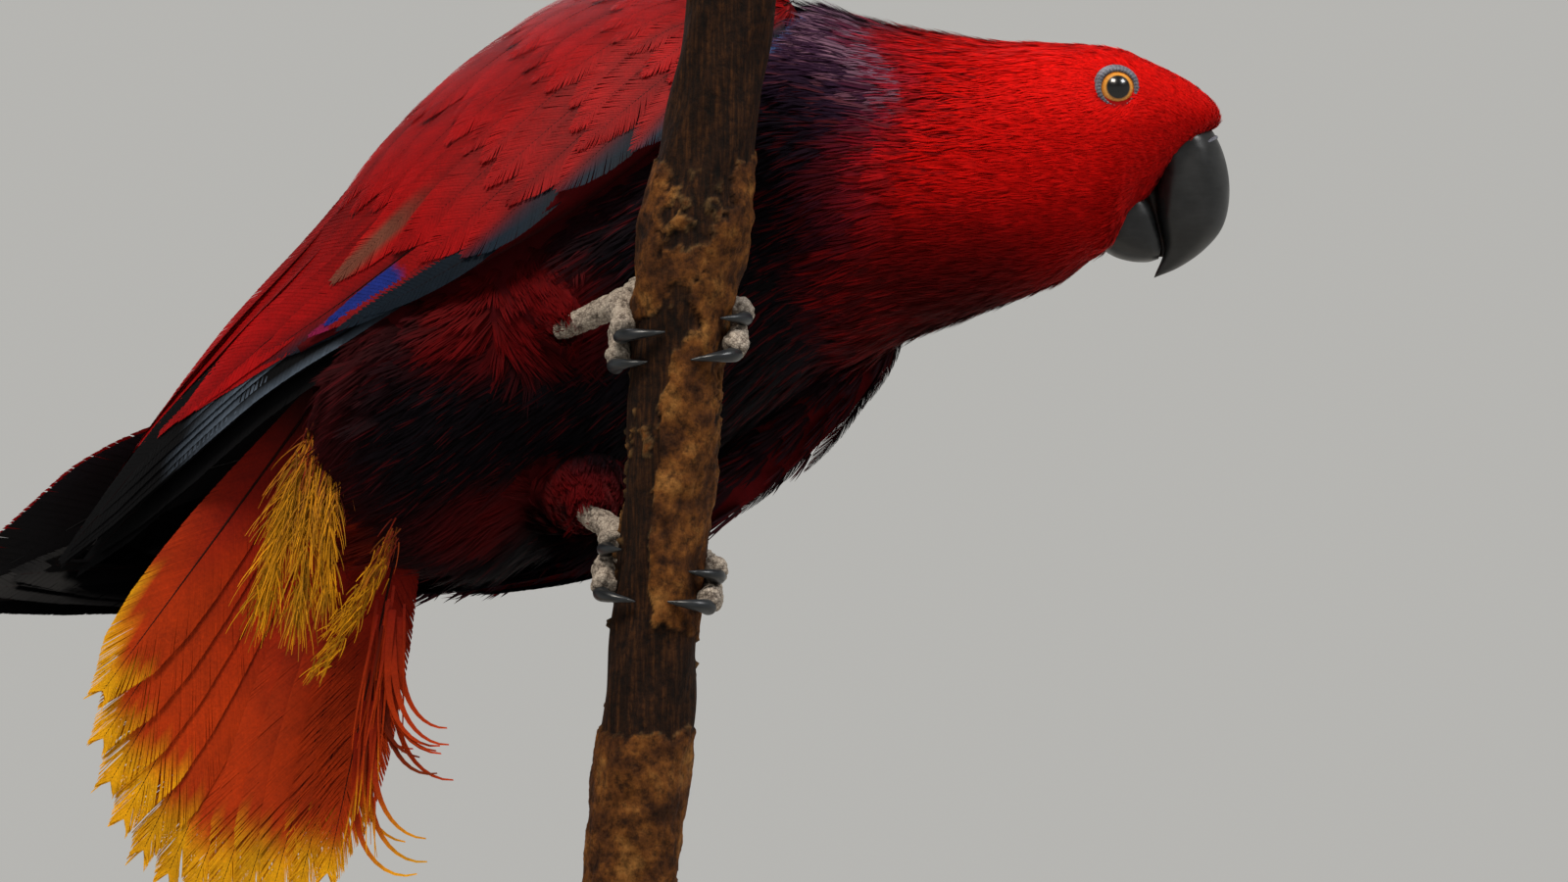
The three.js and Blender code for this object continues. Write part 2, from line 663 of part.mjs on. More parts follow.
function clawSolid([side, , endHeight, endAngle, drop], margin) {
  const steps = Array.from({ length: CLAW.steps + 1 }, (_, i) => {
    const k = i / CLAW.steps;
    const radius = mix(CLAW.radius, CLAW.tip, k ** 1.4);
    const angle = endAngle - 6 + CLAW.reach * k;
    const height = endHeight - 1.2 + drop * k;
    const distance = GAP + radius + CLAW.lift * Math.sin(Math.PI * Math.min(1, k + 0.2));
    const centre = besideBranch(height, angle, distance, side);
    const [x] = rowAt(BRANCH_ROWS, height);
    return { centre, radius: radius + margin, reference: centre.clone().sub(v(x, BRANCH.y, height)) };
  });
  return tube(steps, 8);
}

function footSolid(leg) {
  const pad = besideBranch(leg.pad[0], leg.pad[1], 5.2);
  const heel = v(...leg.heel);
  const middle = heel.clone().lerp(pad, 0.5).add(v(0, 1.5, 1));
  const shin = [heel.clone().lerp(pad, -0.1), heel, middle, pad].map((centre, i) => ({
    centre, radius: TARSUS_RADIUS * [0.8, 1.12, 0.92, 1.15][i], reference: v(0, -1, 0.2),
  }));
  return join([tube(shin, 10), ball(pad, 6.8, 10), ...leg.toes.map(toeSolid)]);
}

function thighSolid(leg, margin) {
  const [start, heel] = [v(...leg.thigh), v(...leg.heel)];
  const shape = [1, 1, 0.86, 0.6, 0.42];
  const steps = shape.map((width, i) => ({
    centre: start.clone().lerp(heel, (i / (shape.length - 1)) * 0.94),
    radius: leg.thighRadius * width + margin,
    reference: v(0, 0, 1),
  }));
  return tube(steps, 12);
}

// The stand

function baseSolid() {
  const [w, d, c] = [BASE.width / 2, BASE.depth / 2, BASE.corner];
  const outline = new THREE.Shape();
  outline.moveTo(-w + c, -d);
  outline.absarc(w - c, -d + c, c, -Math.PI / 2, 0);
  outline.absarc(w - c, d - c, c, 0, Math.PI / 2);
  outline.absarc(-w + c, d - c, c, Math.PI / 2, Math.PI);
  outline.absarc(-w + c, -d + c, c, Math.PI, 1.5 * Math.PI);
  const settings = { depth: BASE.height, bevelEnabled: false, curveSegments: 6 };
  return fromGeometry(new THREE.ExtrudeGeometry(outline, settings));
}

function rodSolid() {
  const height = BRANCH.bottom - BASE.height - 2 * GAP;
  const rod = new THREE.CylinderGeometry(ROD_RADIUS, ROD_RADIUS, height, 24);
  rod.rotateX(Math.PI / 2);
  rod.translate(BRANCH_ROWS[0][1], BRANCH.y, BASE.height + GAP + height / 2);
  return fromGeometry(rod);
}

// The whole model

const model = new THREE.Group();

function add(name, solid, colour) {
  const mesh = cleaned(solid).getMesh();
  const geometry = new THREE.BufferGeometry();
  const stride = mesh.numProp;
  const place = new Float32Array(mesh.numVert * 3);
  for (let i = 0; i < mesh.numVert; i += 1) {
    place.set(mesh.vertProperties.subarray(i * stride, i * stride + 3), i * 3);
  }
  geometry.setAttribute("position", new THREE.BufferAttribute(place, 3));
  geometry.setIndex(new THREE.BufferAttribute(mesh.triVerts, 1));
  geometry.computeVertexNormals();
  const [color, roughness, metalness] = COLOURS[colour];
  const material = new THREE.MeshStandardMaterial({ color, roughness, metalness });
  const made = new THREE.Mesh(geometry, material);
  made.name = name;
  model.add(made);
}

const body = bodySolid(0);
const bodyGrown = bodySolid(GAP);
const branch = branchSolid(0);
const branchGrown = branchSolid(GAP);

// The cuts that part the head from the neck and the neck from the trunk.
const HEAD_CUT = { point: v(97, 9, 208), normal: v(1, -0.1, -0.05) };
const NECK_CUT = { point: v(48, 28, 208), normal: v(0.93, -0.12, 0.35) };
const beyond = ({ point, normal }, shift) => {
  const unit = normal.clone().normalize();
  return blockBeyond(point.clone().addScaledVector(unit, shift), unit);
};

const upperBill = billSolid(UPPER_BILL, 0);
const upperBillGrown = billSolid(UPPER_BILL, GAP);
const lowerBill = billSolid(LOWER_BILL, 0).subtract(upperBillGrown);
const tongue = [upperBillGrown, billSolid(LOWER_BILL, GAP)].reduce(
  (solid, cutter) => solid.subtract(cutter),
  tongueSolid(0),
);
const nostrils = [-1, 1].map((sign) => ball(v(145.6, HEAD_Y + sign * 7.3, 220.5), 1.2, 8));

const eyes = { right: -1, left: 1 };
const head = [
  upperBillGrown, billSolid(LOWER_BILL, GAP), tongueSolid(GAP), ...nostrils,
  ...Object.values(eyes).map((s) => eyeOf(s, GAP)),
].reduce(
  (solid, cutter) => solid.subtract(cutter),
  join([body.intersect(beyond(HEAD_CUT, GAP / 2)), ...Object.values(eyes).map(lidOf)]),
);

add("head", largest(head), "red");
add("bill_upper", largest(upperBill), "bill");
add("bill_lower", largest(lowerBill), "bill");
add("tongue", largest(tongue), "tongue");
for (const [side, sign] of Object.entries(eyes)) add(`eye_${side}`, eyeOf(sign, 0), "eye");

const neck = body.intersect(beyond(NECK_CUT, GAP / 2)).subtract(beyond(HEAD_CUT, -GAP / 2));
const wings = Object.entries(WING_SET).map(([side, set]) => [side, wingSolid(set, bodyGrown)]);
add("neck", largest(neck), "violet");

const tail = tailSolid(bodyGrown);
const trunk = body.subtract(beyond(NECK_CUT, -GAP / 2));
const vent = VENT_FEATHERS.map(ventVane);
add("torso", largest(join([trunk, ...vent])), "violet");
for (const [side, solid] of wings) add(`wing_${side}`, solid, "crimson");
add("tail", tail, "orange");

for (const [side, leg] of Object.entries(LEGS)) {
  const claws = leg.toes.map((toe) => clawSolid(toe, 0).subtract(branchGrown));
  const clawsGrown = leg.toes.map((toe) => clawSolid(toe, GAP));
  const thighGrown = thighSolid(leg, GAP);
  const foot = [branchGrown, thighGrown, bodyGrown, ...clawsGrown].reduce(
    (solid, cutter) => solid.subtract(cutter),
    footSolid(leg),
  );
  add(`thigh_${side}`, largest(thighSolid(leg, 0).subtract(bodyGrown)), "red");
  add(`foot_${side}`, largest(foot), "foot");
  claws.forEach((claw, i) => add(`claw_${side}_${i + 1}`, largest(claw), "claw"));
}

add("perch", branch, "bark");
add("stand_rod", rodSolid(), "steel");
add("stand_base", baseSolid(), "stand");

export default model;
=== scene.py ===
"""A life-size female eclectus parrot that clings to a cut length of upright branch on a plain stand.

Everything is in the frame of the solids: metres, +Z up, the head towards +X and the belly towards -Y.
Tables of sections are in millimetres and repeat the values that the solids are lofted from.
"""

import logging
import math
from dataclasses import dataclass, field
from enum import Enum
from functools import partial
from typing import Any, Callable

import bmesh
import bpy
import numpy as np
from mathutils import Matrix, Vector
from mathutils.bvhtree import BVHTree
from mathutils.kdtree import KDTree

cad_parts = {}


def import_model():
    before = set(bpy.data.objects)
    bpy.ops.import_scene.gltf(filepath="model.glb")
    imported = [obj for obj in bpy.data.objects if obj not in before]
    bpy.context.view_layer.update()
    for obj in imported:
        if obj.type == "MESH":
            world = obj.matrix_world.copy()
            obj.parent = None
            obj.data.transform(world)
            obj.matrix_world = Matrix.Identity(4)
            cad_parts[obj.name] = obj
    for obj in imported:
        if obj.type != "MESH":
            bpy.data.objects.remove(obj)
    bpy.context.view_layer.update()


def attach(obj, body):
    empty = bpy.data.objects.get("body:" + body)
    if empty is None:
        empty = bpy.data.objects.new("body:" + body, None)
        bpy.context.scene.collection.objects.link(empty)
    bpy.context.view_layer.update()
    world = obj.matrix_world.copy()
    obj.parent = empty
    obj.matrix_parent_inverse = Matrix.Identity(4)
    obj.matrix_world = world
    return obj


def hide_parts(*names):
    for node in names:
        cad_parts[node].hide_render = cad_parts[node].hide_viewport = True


LOG = logging.getLogger("parrot")
MM = 0.001
Array = np.ndarray
Adder = Callable[..., Any]
Mesh = bpy.types.Mesh
Piece = bpy.types.Object
Paint = Callable[[Array, Array], Array]
Spine = Callable[[Array], tuple[Array, Array, Array, Array]]
Table = tuple[tuple[float, ...], ...]
Triple = tuple[float, float, float]


# Numbers


def linear(code: str) -> tuple[float, float, float, float]:
    """The linear colour of an sRGB hex code.

    Args:
        code: six hex digits, with or without a leading #.

    Returns:
        Red, green, blue and an alpha of 1.
    """
    digits = code.lstrip("#")
    parts = [int(digits[i : i + 2], 16) / 255 for i in (0, 2, 4)]
    red, green, blue = ((c / 12.92 if c <= 0.04045 else ((c + 0.055) / 1.055) ** 2.4) for c in parts)
    return red, green, blue, 1.0


def rgb(code: str) -> Array:
    """The linear colour of an sRGB hex code as three numbers."""
    return np.array(linear(code)[:3])


def blend_rows(rows: Any, keys: Any) -> Array:
    """Cubic blend through rows of a key and values.

    Args:
        rows: the rows, each [key, ...values], in rising or falling order of key.
        keys: where to read them, of any shape.

    Returns:
        The values at each key, in a last axis.
    """
    table = np.asarray(rows, float)
    if table[0, 0] > table[-1, 0]:
        table = table[::-1]
    x, y = table[:, 0], table[:, 1:]
    slope = np.empty_like(y)
    slope[1:-1] = (y[2:] - y[:-2]) / (x[2:] - x[:-2])[:, None]
    slope[0] = (y[1] - y[0]) / (x[1] - x[0])
    slope[-1] = (y[-1] - y[-2]) / (x[-1] - x[-2])
    at = np.clip(np.asarray(keys, float), x[0], x[-1])
    i = np.clip(np.searchsorted(x, at, side="right") - 1, 0, len(x) - 2)
    span = (x[i + 1] - x[i])[..., None]
    t = (at - x[i])[..., None] / span
    t2, t3 = t * t, t * t * t
    return (
        y[i] * (2 * t3 - 3 * t2 + 1)
        + y[i + 1] * (3 * t2 - 2 * t3)
        + slope[i] * span * (t3 - 2 * t2 + t)
        + slope[i + 1] * span * (t3 - t2)
    )


def smooth(low: float, high: float, x: Array) -> Array:
    """A soft step from 0 at low to 1 at high."""
    t = np.clip((x - low) / (high - low), 0, 1)
    return t * t * (3 - 2 * t)


def unit(v: Array) -> Array:
    """Vectors of length 1 along the last axis."""
    return v / np.maximum(np.linalg.norm(v, axis=-1, keepdims=True), 1e-9)


def dots(a: Array, b: Array) -> Array:
    """Dot products along the last axis, kept as an axis of one."""
    return np.sum(a * b, axis=-1, keepdims=True)


def mix(one: Array, other: Array, share: Array) -> Array:
    """Two colours mixed by the other's share at each point."""
    return one * (1 - share[:, None]) + other * share[:, None]


def opaque(colours: Array) -> Array:
    """Rows of colour with an alpha of 1."""
    return np.c_[colours, np.ones(len(colours))]


def turns(count: int) -> Array:
    """Even angles round a full turn."""
    return np.linspace(0, 2 * np.pi, count, endpoint=False)


def circle(count: int) -> Array:
    """Points round a level circle of radius 1."""
    return np.stack([np.cos(turns(count)), np.sin(turns(count)), np.zeros(count)], axis=-1)


def run_of(points: Array) -> Array:
    """The distance walked along points, up to each one."""
    return np.r_[0, np.cumsum(np.linalg.norm(np.diff(points, axis=0), axis=1))]


# Meshes


@dataclass
class Surface:
    """Points in millimetres with faces, and per-point values that become mesh attributes."""

    points: Array
    faces: list[Any]
    tint: Array | None = None
    uv: Array | None = None

    @staticmethod
    def joined(parts: "list[Surface]") -> "Surface":
        """One surface from several made of quads, each with colours and a bake map.

        Args:
            parts: the surfaces.

        Returns:
            The joined surface.
        """
        start, faces = 0, []
        for part in parts:
            faces.append(np.asarray(part.faces, int) + start)
            start += len(part.points)
        points, tint, uv = (
            np.concatenate([getattr(part, name) for part in parts]) for name in ("points", "tint", "uv")
        )
        return Surface(points, np.concatenate(faces), tint, uv)

    @staticmethod
    def grid(points: Array, around: bool = True, capped: bool = True) -> "Surface":
        """Quads over a grid of points.

        Args:
            points: rows of rings, rings x sides x 3.
            around: whether each ring closes on itself.
            capped: whether each end gets a fan.

        Returns:
            The surface, with the rings' order kept.
        """
        rings, sides = points.shape[:2]
        index = np.arange(rings * sides).reshape(rings, sides)
        right = np.roll(index, -1, axis=1) if around else index[:, 1:]
        left = index if around else index[:, :-1]
        quads = np.stack([left[:-1], right[:-1], right[1:], left[1:]], axis=-1).reshape(-1, 4)
        if not capped:
            return Surface(points.reshape(-1, 3), quads)
        ends = np.stack([points[0].mean(axis=0), points[-1].mean(axis=0)])
        first, last = rings * sides, rings * sides + 1
        faces = quads.tolist()
        faces += [[first, index[0, (j + 1) % sides], index[0, j]] for j in range(sides)]
        faces += [[last, index[-1, j], index[-1, (j + 1) % sides]] for j in range(sides)]
        return Surface(np.concatenate([points.reshape(-1, 3), ends]), faces)

    def to_object(self, name: str, shade_smooth: bool = True) -> Piece:
        """A Blender object with this surface as its mesh, in metres.

        Args:
            name: the object's name.
            shade_smooth: whether its faces are shaded smooth.

        Returns:
            The object.
        """
        mesh = bpy.data.meshes.new(name)
        faces = self.faces.tolist() if isinstance(self.faces, np.ndarray) else self.faces
        mesh.from_pydata((self.points * MM).tolist(), [], faces)
        if self.tint is not None:
            store(mesh, tint=opaque(self.tint))
        if self.uv is not None:
            bake_map(mesh, self.uv)
        mesh.polygons.foreach_set("use_smooth", np.full(len(mesh.polygons), shade_smooth))
        return placed(name, mesh)


def placed(name: str, mesh: Mesh) -> Piece:
    """A new object of the scene round a mesh.

    Args:
        name: the object's name.
        mesh: its mesh.

    Returns:
        The object.
    """
    made = bpy.data.objects.new(name, mesh)
    bpy.context.scene.collection.objects.link(made)
    return made


def bake_map(mesh: Mesh, uv: Array) -> None:
    """Writes the bake map from a place for each point.

    Args:
        mesh: the mesh.
        uv: two numbers for each point.
    """
    layer = mesh.uv_layers.new(name="OFBake")
    loops = np.empty(len(mesh.loops), np.int32)
    mesh.loops.foreach_get("vertex_index", loops)
    layer.uv.foreach_set("vector", uv[loops].astype(np.float32).ravel())


def store(mesh: Mesh, **values: Array) -> None:
    """Writes values for each point into named attributes.

    Args:
        mesh: the mesh.
        values: name to rows of one number, of three for a vector or of four for a colour.
    """
    kinds = {1: ("FLOAT", "value"), 3: ("FLOAT_VECTOR", "vector"), 4: ("FLOAT_COLOR", "color")}
    for name, rows in values.items():
        table = np.asarray(rows, np.float32).reshape(len(rows), -1)
        kind, key = kinds[table.shape[1]]
        made = mesh.attributes.get(name) or mesh.attributes.new(name, kind, "POINT")
        made.data.foreach_set(key, table.ravel())


def read_rows(held: Any, key: str) -> Array:
    """Three numbers for each element of a mesh's points or normals.

    Args:
        held: the points or the normals.
        key: co or vector.

    Returns:
        The rows.
    """
    out = np.empty(len(held) * 3, np.float32)
    held.foreach_get(key, out)
    return out.reshape(-1, 3).astype(float)


def points_of(mesh: Mesh) -> Array:
    """A mesh's points, in millimetres."""
    return read_rows(mesh.vertices, "co") / MM


def normals_of(mesh: Mesh) -> Array:
    """A mesh's point normals."""
    return read_rows(mesh.vertex_normals, "vector")


def move_points(mesh: Mesh, points: Array) -> None:
    """Moves a mesh's points to places in millimetres."""
    mesh.vertices.foreach_set("co", (points * MM).astype(np.float32).ravel())
    mesh.update()


def outward(made: Piece, merge: float = 0.0) -> Piece:
    """Merges doubled points and turns all faces outwards.

    Args:
        made: the object.
        merge: how near doubles lie, in metres; nothing is merged at 0.

    Returns:
        The same object.
    """
    mesh = bmesh.new()
    mesh.from_mesh(made.data)
    if merge:
        bmesh.ops.remove_doubles(mesh, verts=mesh.verts, dist=merge)
    bmesh.ops.recalc_face_normals(mesh, faces=mesh.faces)
    mesh.to_mesh(made.data)
    mesh.free()
    return made


def plain_copy(made: Piece, name: str) -> Piece:
    """A new object with the evaluated mesh and no modifier; the old one is removed.

    Args:
        made: the object with its modifiers.
        name: the new object's name.

    Returns:
        The new object.
    """
    graph = bpy.context.evaluated_depsgraph_get()
    mesh = bpy.data.meshes.new_from_object(
        made.evaluated_get(graph), preserve_all_data_layers=True, depsgraph=graph
    )
    mesh.name = name
    old = made.data
    bpy.data.objects.remove(made)
    if old.users == 0:
        bpy.data.meshes.remove(old)
    return placed(name, mesh)


def fused(parts: list[Piece], name: str, voxel: float, rounds: int) -> Piece:
    """One closed skin round several overlapping closed meshes.

    Args:
        parts: the meshes, which are used up.
        name: the new object's name.
        voxel: the remesh's step in millimetres.
        rounds: how many times the skin is smoothed.

    Returns:
        The skin.
    """
    joined = bmesh.new()
    for part in parts:
        joined.from_mesh(part.data)
    mesh = bpy.data.meshes.new(name)
    joined.to_mesh(mesh)
    joined.free()
    for part in parts:
        bpy.data.objects.remove(part)
    made = placed(name + "_rough", mesh)
    remesh = made.modifiers.new("Voxels", "REMESH")
    remesh.mode, remesh.voxel_size, remesh.use_smooth_shade = "VOXEL", voxel * MM, True
    relax = made.modifiers.new("Relax", "SMOOTH")
    relax.factor, relax.iterations = 0.5, rounds
    return plain_copy(made, name)


# Materials


def add_node(tree: bpy.types.NodeTree, kind: str, inputs: dict | None = None, **settings: Any) -> Any:
    """Adds a node with its settings, values and links.

    Args:
        tree: the tree that gets the node.
        kind: the node's type name.
        inputs: socket name or number to a value, an output socket, or a node that links by its first output.
        settings: attributes of the node itself, and stops, a colour ramp's places and hex colours.

    Returns:
        The node.
    """
    made = tree.nodes.new(kind)
    stops = settings.pop("stops", ())
    for name, value in settings.items():
        setattr(made, name, value)
    for key, value in (inputs or {}).items():
        source = value.outputs[0] if isinstance(value, bpy.types.Node) else value
        if isinstance(source, bpy.types.NodeSocket):
            tree.links.new(source, made.inputs[key])
        else:
            made.inputs[key].default_value = source
    while stops and len(made.color_ramp.elements) < len(stops):
        made.color_ramp.elements.new(0.5)
    for number, (place, code) in enumerate(stops):
        element = made.color_ramp.elements[number]
        element.position, element.color = place, linear(code)
    return made


class Finish:
    """Base of all finishes: makes a material once and hands out the same one again."""

    name: str

    def material(self) -> bpy.types.Material:
        """The finish's material, made on first use.

        Returns:
            The material.
        """
        known = bpy.data.materials.get(self.name)
        if known:
            return known
        made = bpy.data.materials.new(self.name)
        made.use_nodes = True
        made.node_tree.nodes.clear()
        add = partial(add_node, made.node_tree)
        add("ShaderNodeOutputMaterial", {"Surface": self.build(add)})
        return made

    def build(self, add: Adder) -> bpy.types.Node:
        """Makes the shader's nodes.

        Args:
            add: adds a node to the material's tree.

        Returns:
            The shader's last node.
        """
        raise NotImplementedError


@dataclass(frozen=True)
class PlumageFinish(Finish):
    """Body feather: keratin barbs, matt, with a faint sheen, and a painted sheen that brightens their tips.

    Each blade reads two colours and the chance of the second from its root, so streaks are whole tufts.
    """

    name: str = "feather_keratin_body"
    roughness: float = 0.7
    sheen: float = 0.01

    def build(self, add: Adder) -> bpy.types.Node:
        """Base colour from the root's tints, blade by blade, with painted shade at the roots, a painted sheen
        at the tips and a fine break-up at 0.7 mm.

        Args:
            add: adds a node to the material's tree.

        Returns:
            The shader's last node.
        """
        base = add("ShaderNodeAttribute", attribute_name="tint")
        streak = add("ShaderNodeAttribute", attribute_name="streak_tint")
        chance = add("ShaderNodeAttribute", attribute_name="streak").outputs["Fac"]
        draw = add("ShaderNodeAttribute", attribute_name="draw").outputs["Fac"]
        vane = add("ShaderNodeAttribute", attribute_name="vane").outputs["Vector"]
        split = add("ShaderNodeSeparateXYZ", {"Vector": vane}).outputs
        mixed = add("ShaderNodeMath", {0: split["Y"], 1: 7.31, 2: draw}, operation="MULTIPLY_ADD")
        each = add("ShaderNodeMath", {0: mixed}, operation="FRACT")
        over = add("ShaderNodeMath", {0: chance, 1: each}, operation="SUBTRACT")
        pick = add("ShaderNodeMapRange", {"Value": over, "From Min": -0.09, "From Max": 0.09})
        colour = add("ShaderNodeMix", {"Factor": pick, "A": base, "B": streak}, data_type="RGBA").outputs[2]
        place = add("ShaderNodeTexCoord").outputs["Object"]
        fine = add("ShaderNodeTexNoise", {"Vector": place, "Scale": 520.0, "Detail": 3.0}).outputs["Fac"]
        # painted shade and sheen: each blade is darker at its root and brighter at its tip
        tip = add("ShaderNodeMapRange", {"Value": split["X"], "To Min": 0.62, "To Max": 1.22})
        own = add("ShaderNodeMapRange", {"Value": each, "To Min": 1.14, "To Max": 0.82})
        span = {"From Min": 0.3, "From Max": 0.7, "To Min": 0.86, "To Max": 1.12}
        drift = add("ShaderNodeMapRange", {"Value": fine, **span})
        both = add("ShaderNodeMath", {0: tip, 1: own}, operation="MULTIPLY")
        light = add("ShaderNodeMath", {0: both, 1: drift}, operation="MULTIPLY")
        shade = add("ShaderNodeVectorMath", {0: colour, "Scale": light}, operation="SCALE")
        bump = add("ShaderNodeBump", {"Height": fine, "Strength": 0.12, "Distance": 0.0002})
        look = {"Roughness": self.roughness, "IOR": 1.54, "Specular IOR Level": 0.04}
        look |= {"Sheen Weight": self.sheen, "Sheen Roughness": 0.5}
        return add("ShaderNodeBsdfPrincipled", {"Base Color": shade, "Normal": bump, **look})


@dataclass(frozen=True)
class VaneFinish(Finish):
    """Flight and tail feather: keratin barbs zipped into a vane, smoother than body feather."""

    name: str = "feather_keratin_vane"
    roughness: float = 0.58

    def build(self, add: Adder) -> bpy.types.Node:
        """Colour from the barb's own tint, with a soft drift over 4 mm and a fine one over 0.5 mm.

        Args:
            add: adds a node to the material's tree.

        Returns:
            The shader's last node.
        """
        base = add("ShaderNodeAttribute", attribute_name="tint")
        place = add("ShaderNodeTexCoord").outputs["Object"]
        broad = add("ShaderNodeTexNoise", {"Vector": place, "Scale": 120.0, "Detail": 2.0}).outputs["Fac"]
        fine = add("ShaderNodeTexNoise", {"Vector": place, "Scale": 1400.0, "Detail": 2.0}).outputs["Fac"]
        both = add("ShaderNodeMath", {0: broad, 1: fine}, operation="ADD")
        span = {"From Min": 0.6, "From Max": 1.4, "To Min": 0.72, "To Max": 1.28}
        light = add("ShaderNodeMapRange", {"Value": both, **span})
        shade = add("ShaderNodeVectorMath", {0: base, "Scale": light}, operation="SCALE")
        bump = add("ShaderNodeBump", {"Height": fine, "Strength": 0.15, "Distance": 0.0002})
        look = {"Roughness": self.roughness, "IOR": 1.54, "Specular IOR Level": 0.1}
        return add("ShaderNodeBsdfPrincipled", {"Base Color": shade, "Normal": bump, **look})


@dataclass(frozen=True)
class HornFinish(Finish):
    """Keratin horn of bill and claws, worn to a satin by use, with growth lines and small scuffs."""

    name: str = "keratin_horn_bill"
    dark: str = "111213"
    light: str = "2a2b2c"
    roughness: float = 0.36
    line_mm: float = 1.6

    def build(self, add: Adder) -> bpy.types.Node:
        """Dark horn with growth bands and scratches a tenth of a millimetre wide, drawn at 0.4 mm to show.

        Args:
            add: adds a node to the material's tree.

        Returns:
            The shader's last node.
        """
        place = add("ShaderNodeTexCoord").outputs["Object"]
        cloud = add("ShaderNodeTexNoise", {"Vector": place, "Scale": 140.0, "Detail": 5.0}).outputs["Fac"]
        stretch = add("ShaderNodeMapping", {"Vector": place, "Scale": (260, 260, 1100)})
        grain = add("ShaderNodeTexNoise", {"Vector": stretch, "Scale": 1.0, "Detail": 3.0}).outputs["Fac"]
        waves = {"Vector": place, "Scale": 1 / (self.line_mm * MM * 6.3), "Distortion": 3.0, "Detail": 2.0}
        bands = add("ShaderNodeTexWave", waves, bands_direction="Z").outputs["Fac"]
        mixed = add("ShaderNodeMix", {"Factor": 0.3, "A": cloud, "B": grain}, data_type="FLOAT")
        colour = add("ShaderNodeValToRGB", {"Fac": mixed}, stops=[(0.32, self.dark), (0.7, self.light)])
        tint = add("ShaderNodeAttribute", attribute_name="tint")
        final = add("ShaderNodeVectorMath", {0: colour, 1: tint}, operation="MULTIPLY")
        worn = {"To Min": self.roughness - 0.07, "To Max": self.roughness + 0.12}
        rough = add("ShaderNodeMapRange", {"Value": cloud, "From Min": 0.3, "From Max": 0.7, **worn})
        height = add("ShaderNodeMath", {0: bands, 1: grain}, operation="ADD")
        bump = add("ShaderNodeBump", {"Height": height, "Strength": 0.12, "Distance": 0.0002})
        look = {"Roughness": rough, "IOR": 1.54, "Specular IOR Level": 0.38}
        return add("ShaderNodeBsdfPrincipled", {"Base Color": final, "Normal": bump, **look})


@dataclass(frozen=True)
class SkinFinish(Finish):
    """Bare or scaly skin, dry, with a fine pebbled grain."""

    name: str = "bird_skin_scaly"
    dark: str = "1b1512"
    middle: str = "62574e"
    light: str = "b3a799"
    grain_mm: float = 0.75
    roughness: float = 0.68
    strength: float = 0.4

    def build(self, add: Adder) -> bpy.types.Node:
        """Darker in the folds, pale on the raised scales, and pebbles of the grain's size.

        Args:
            add: adds a node to the material's tree.

        Returns:
            The shader's last node.
        """
        place = add("ShaderNodeTexCoord").outputs["Object"]
        grain = {"Vector": place, "Scale": 1 / (self.grain_mm * MM)}
        pebble = add("ShaderNodeTexVoronoi", grain, feature="DISTANCE_TO_EDGE").outputs["Distance"]
        cloud = add("ShaderNodeTexNoise", {"Vector": place, "Scale": 260.0, "Detail": 4.0}).outputs["Fac"]
        high = add("ShaderNodeAttribute", attribute_name="tint").outputs["Fac"]
        edge = add("ShaderNodeMapRange", {"Value": pebble, "From Max": 0.18})
        level = add("ShaderNodeMath", {0: high, 1: 0.45, 2: -0.2}, operation="MULTIPLY_ADD")
        raised = add("ShaderNodeMath", {0: edge, 1: 0.32, 2: level}, operation="MULTIPLY_ADD")
        mixed = add("ShaderNodeMath", {0: cloud, 1: 0.75, 2: raised}, operation="MULTIPLY_ADD")
        stops = [(0.12, self.dark), (0.42, self.middle), (0.95, self.light)]
        colour = add("ShaderNodeValToRGB", {"Fac": mixed}, stops=stops)
        bump = add("ShaderNodeBump", {"Height": edge, "Strength": self.strength, "Distance": 0.0002})
        look = {"Roughness": self.roughness, "IOR": 1.45, "Specular IOR Level": 0.3}
        return add("ShaderNodeBsdfPrincipled", {"Base Color": colour, "Normal": bump, **look})


@dataclass(frozen=True)
class EyeFinish(Finish):
    """Living eye: black pupil, iris with fine spokes, all under a wet clear cornea."""

    name: str = "eye_cornea_wet"

    def build(self, add: Adder) -> bpy.types.Node:
        """Colour from the ball's own rings, under a clear coat whose roughness is near nothing.

        Args:
            add: adds a node to the material's tree.

        Returns:
            The shader's last node.
        """
        base = add("ShaderNodeAttribute", attribute_name="tint")
        place = add("ShaderNodeTexCoord").outputs["Object"]
        spoke = add("ShaderNodeTexNoise", {"Vector": place, "Scale": 2600.0, "Detail": 2.0}).outputs["Fac"]
        span = {"From Min": 0.3, "From Max": 0.7, "To Min": 0.75, "To Max": 1.2}
        light = add("ShaderNodeMapRange", {"Value": spoke, **span})
        shade = add("ShaderNodeVectorMath", {0: base, "Scale": light}, operation="SCALE")
        wet = {"Coat Weight": 1.0, "Coat Roughness": 0.02, "Coat IOR": 1.38}
        return add("ShaderNodeBsdfPrincipled", {"Base Color": shade, "Roughness": 0.28, "IOR": 1.38, **wet})


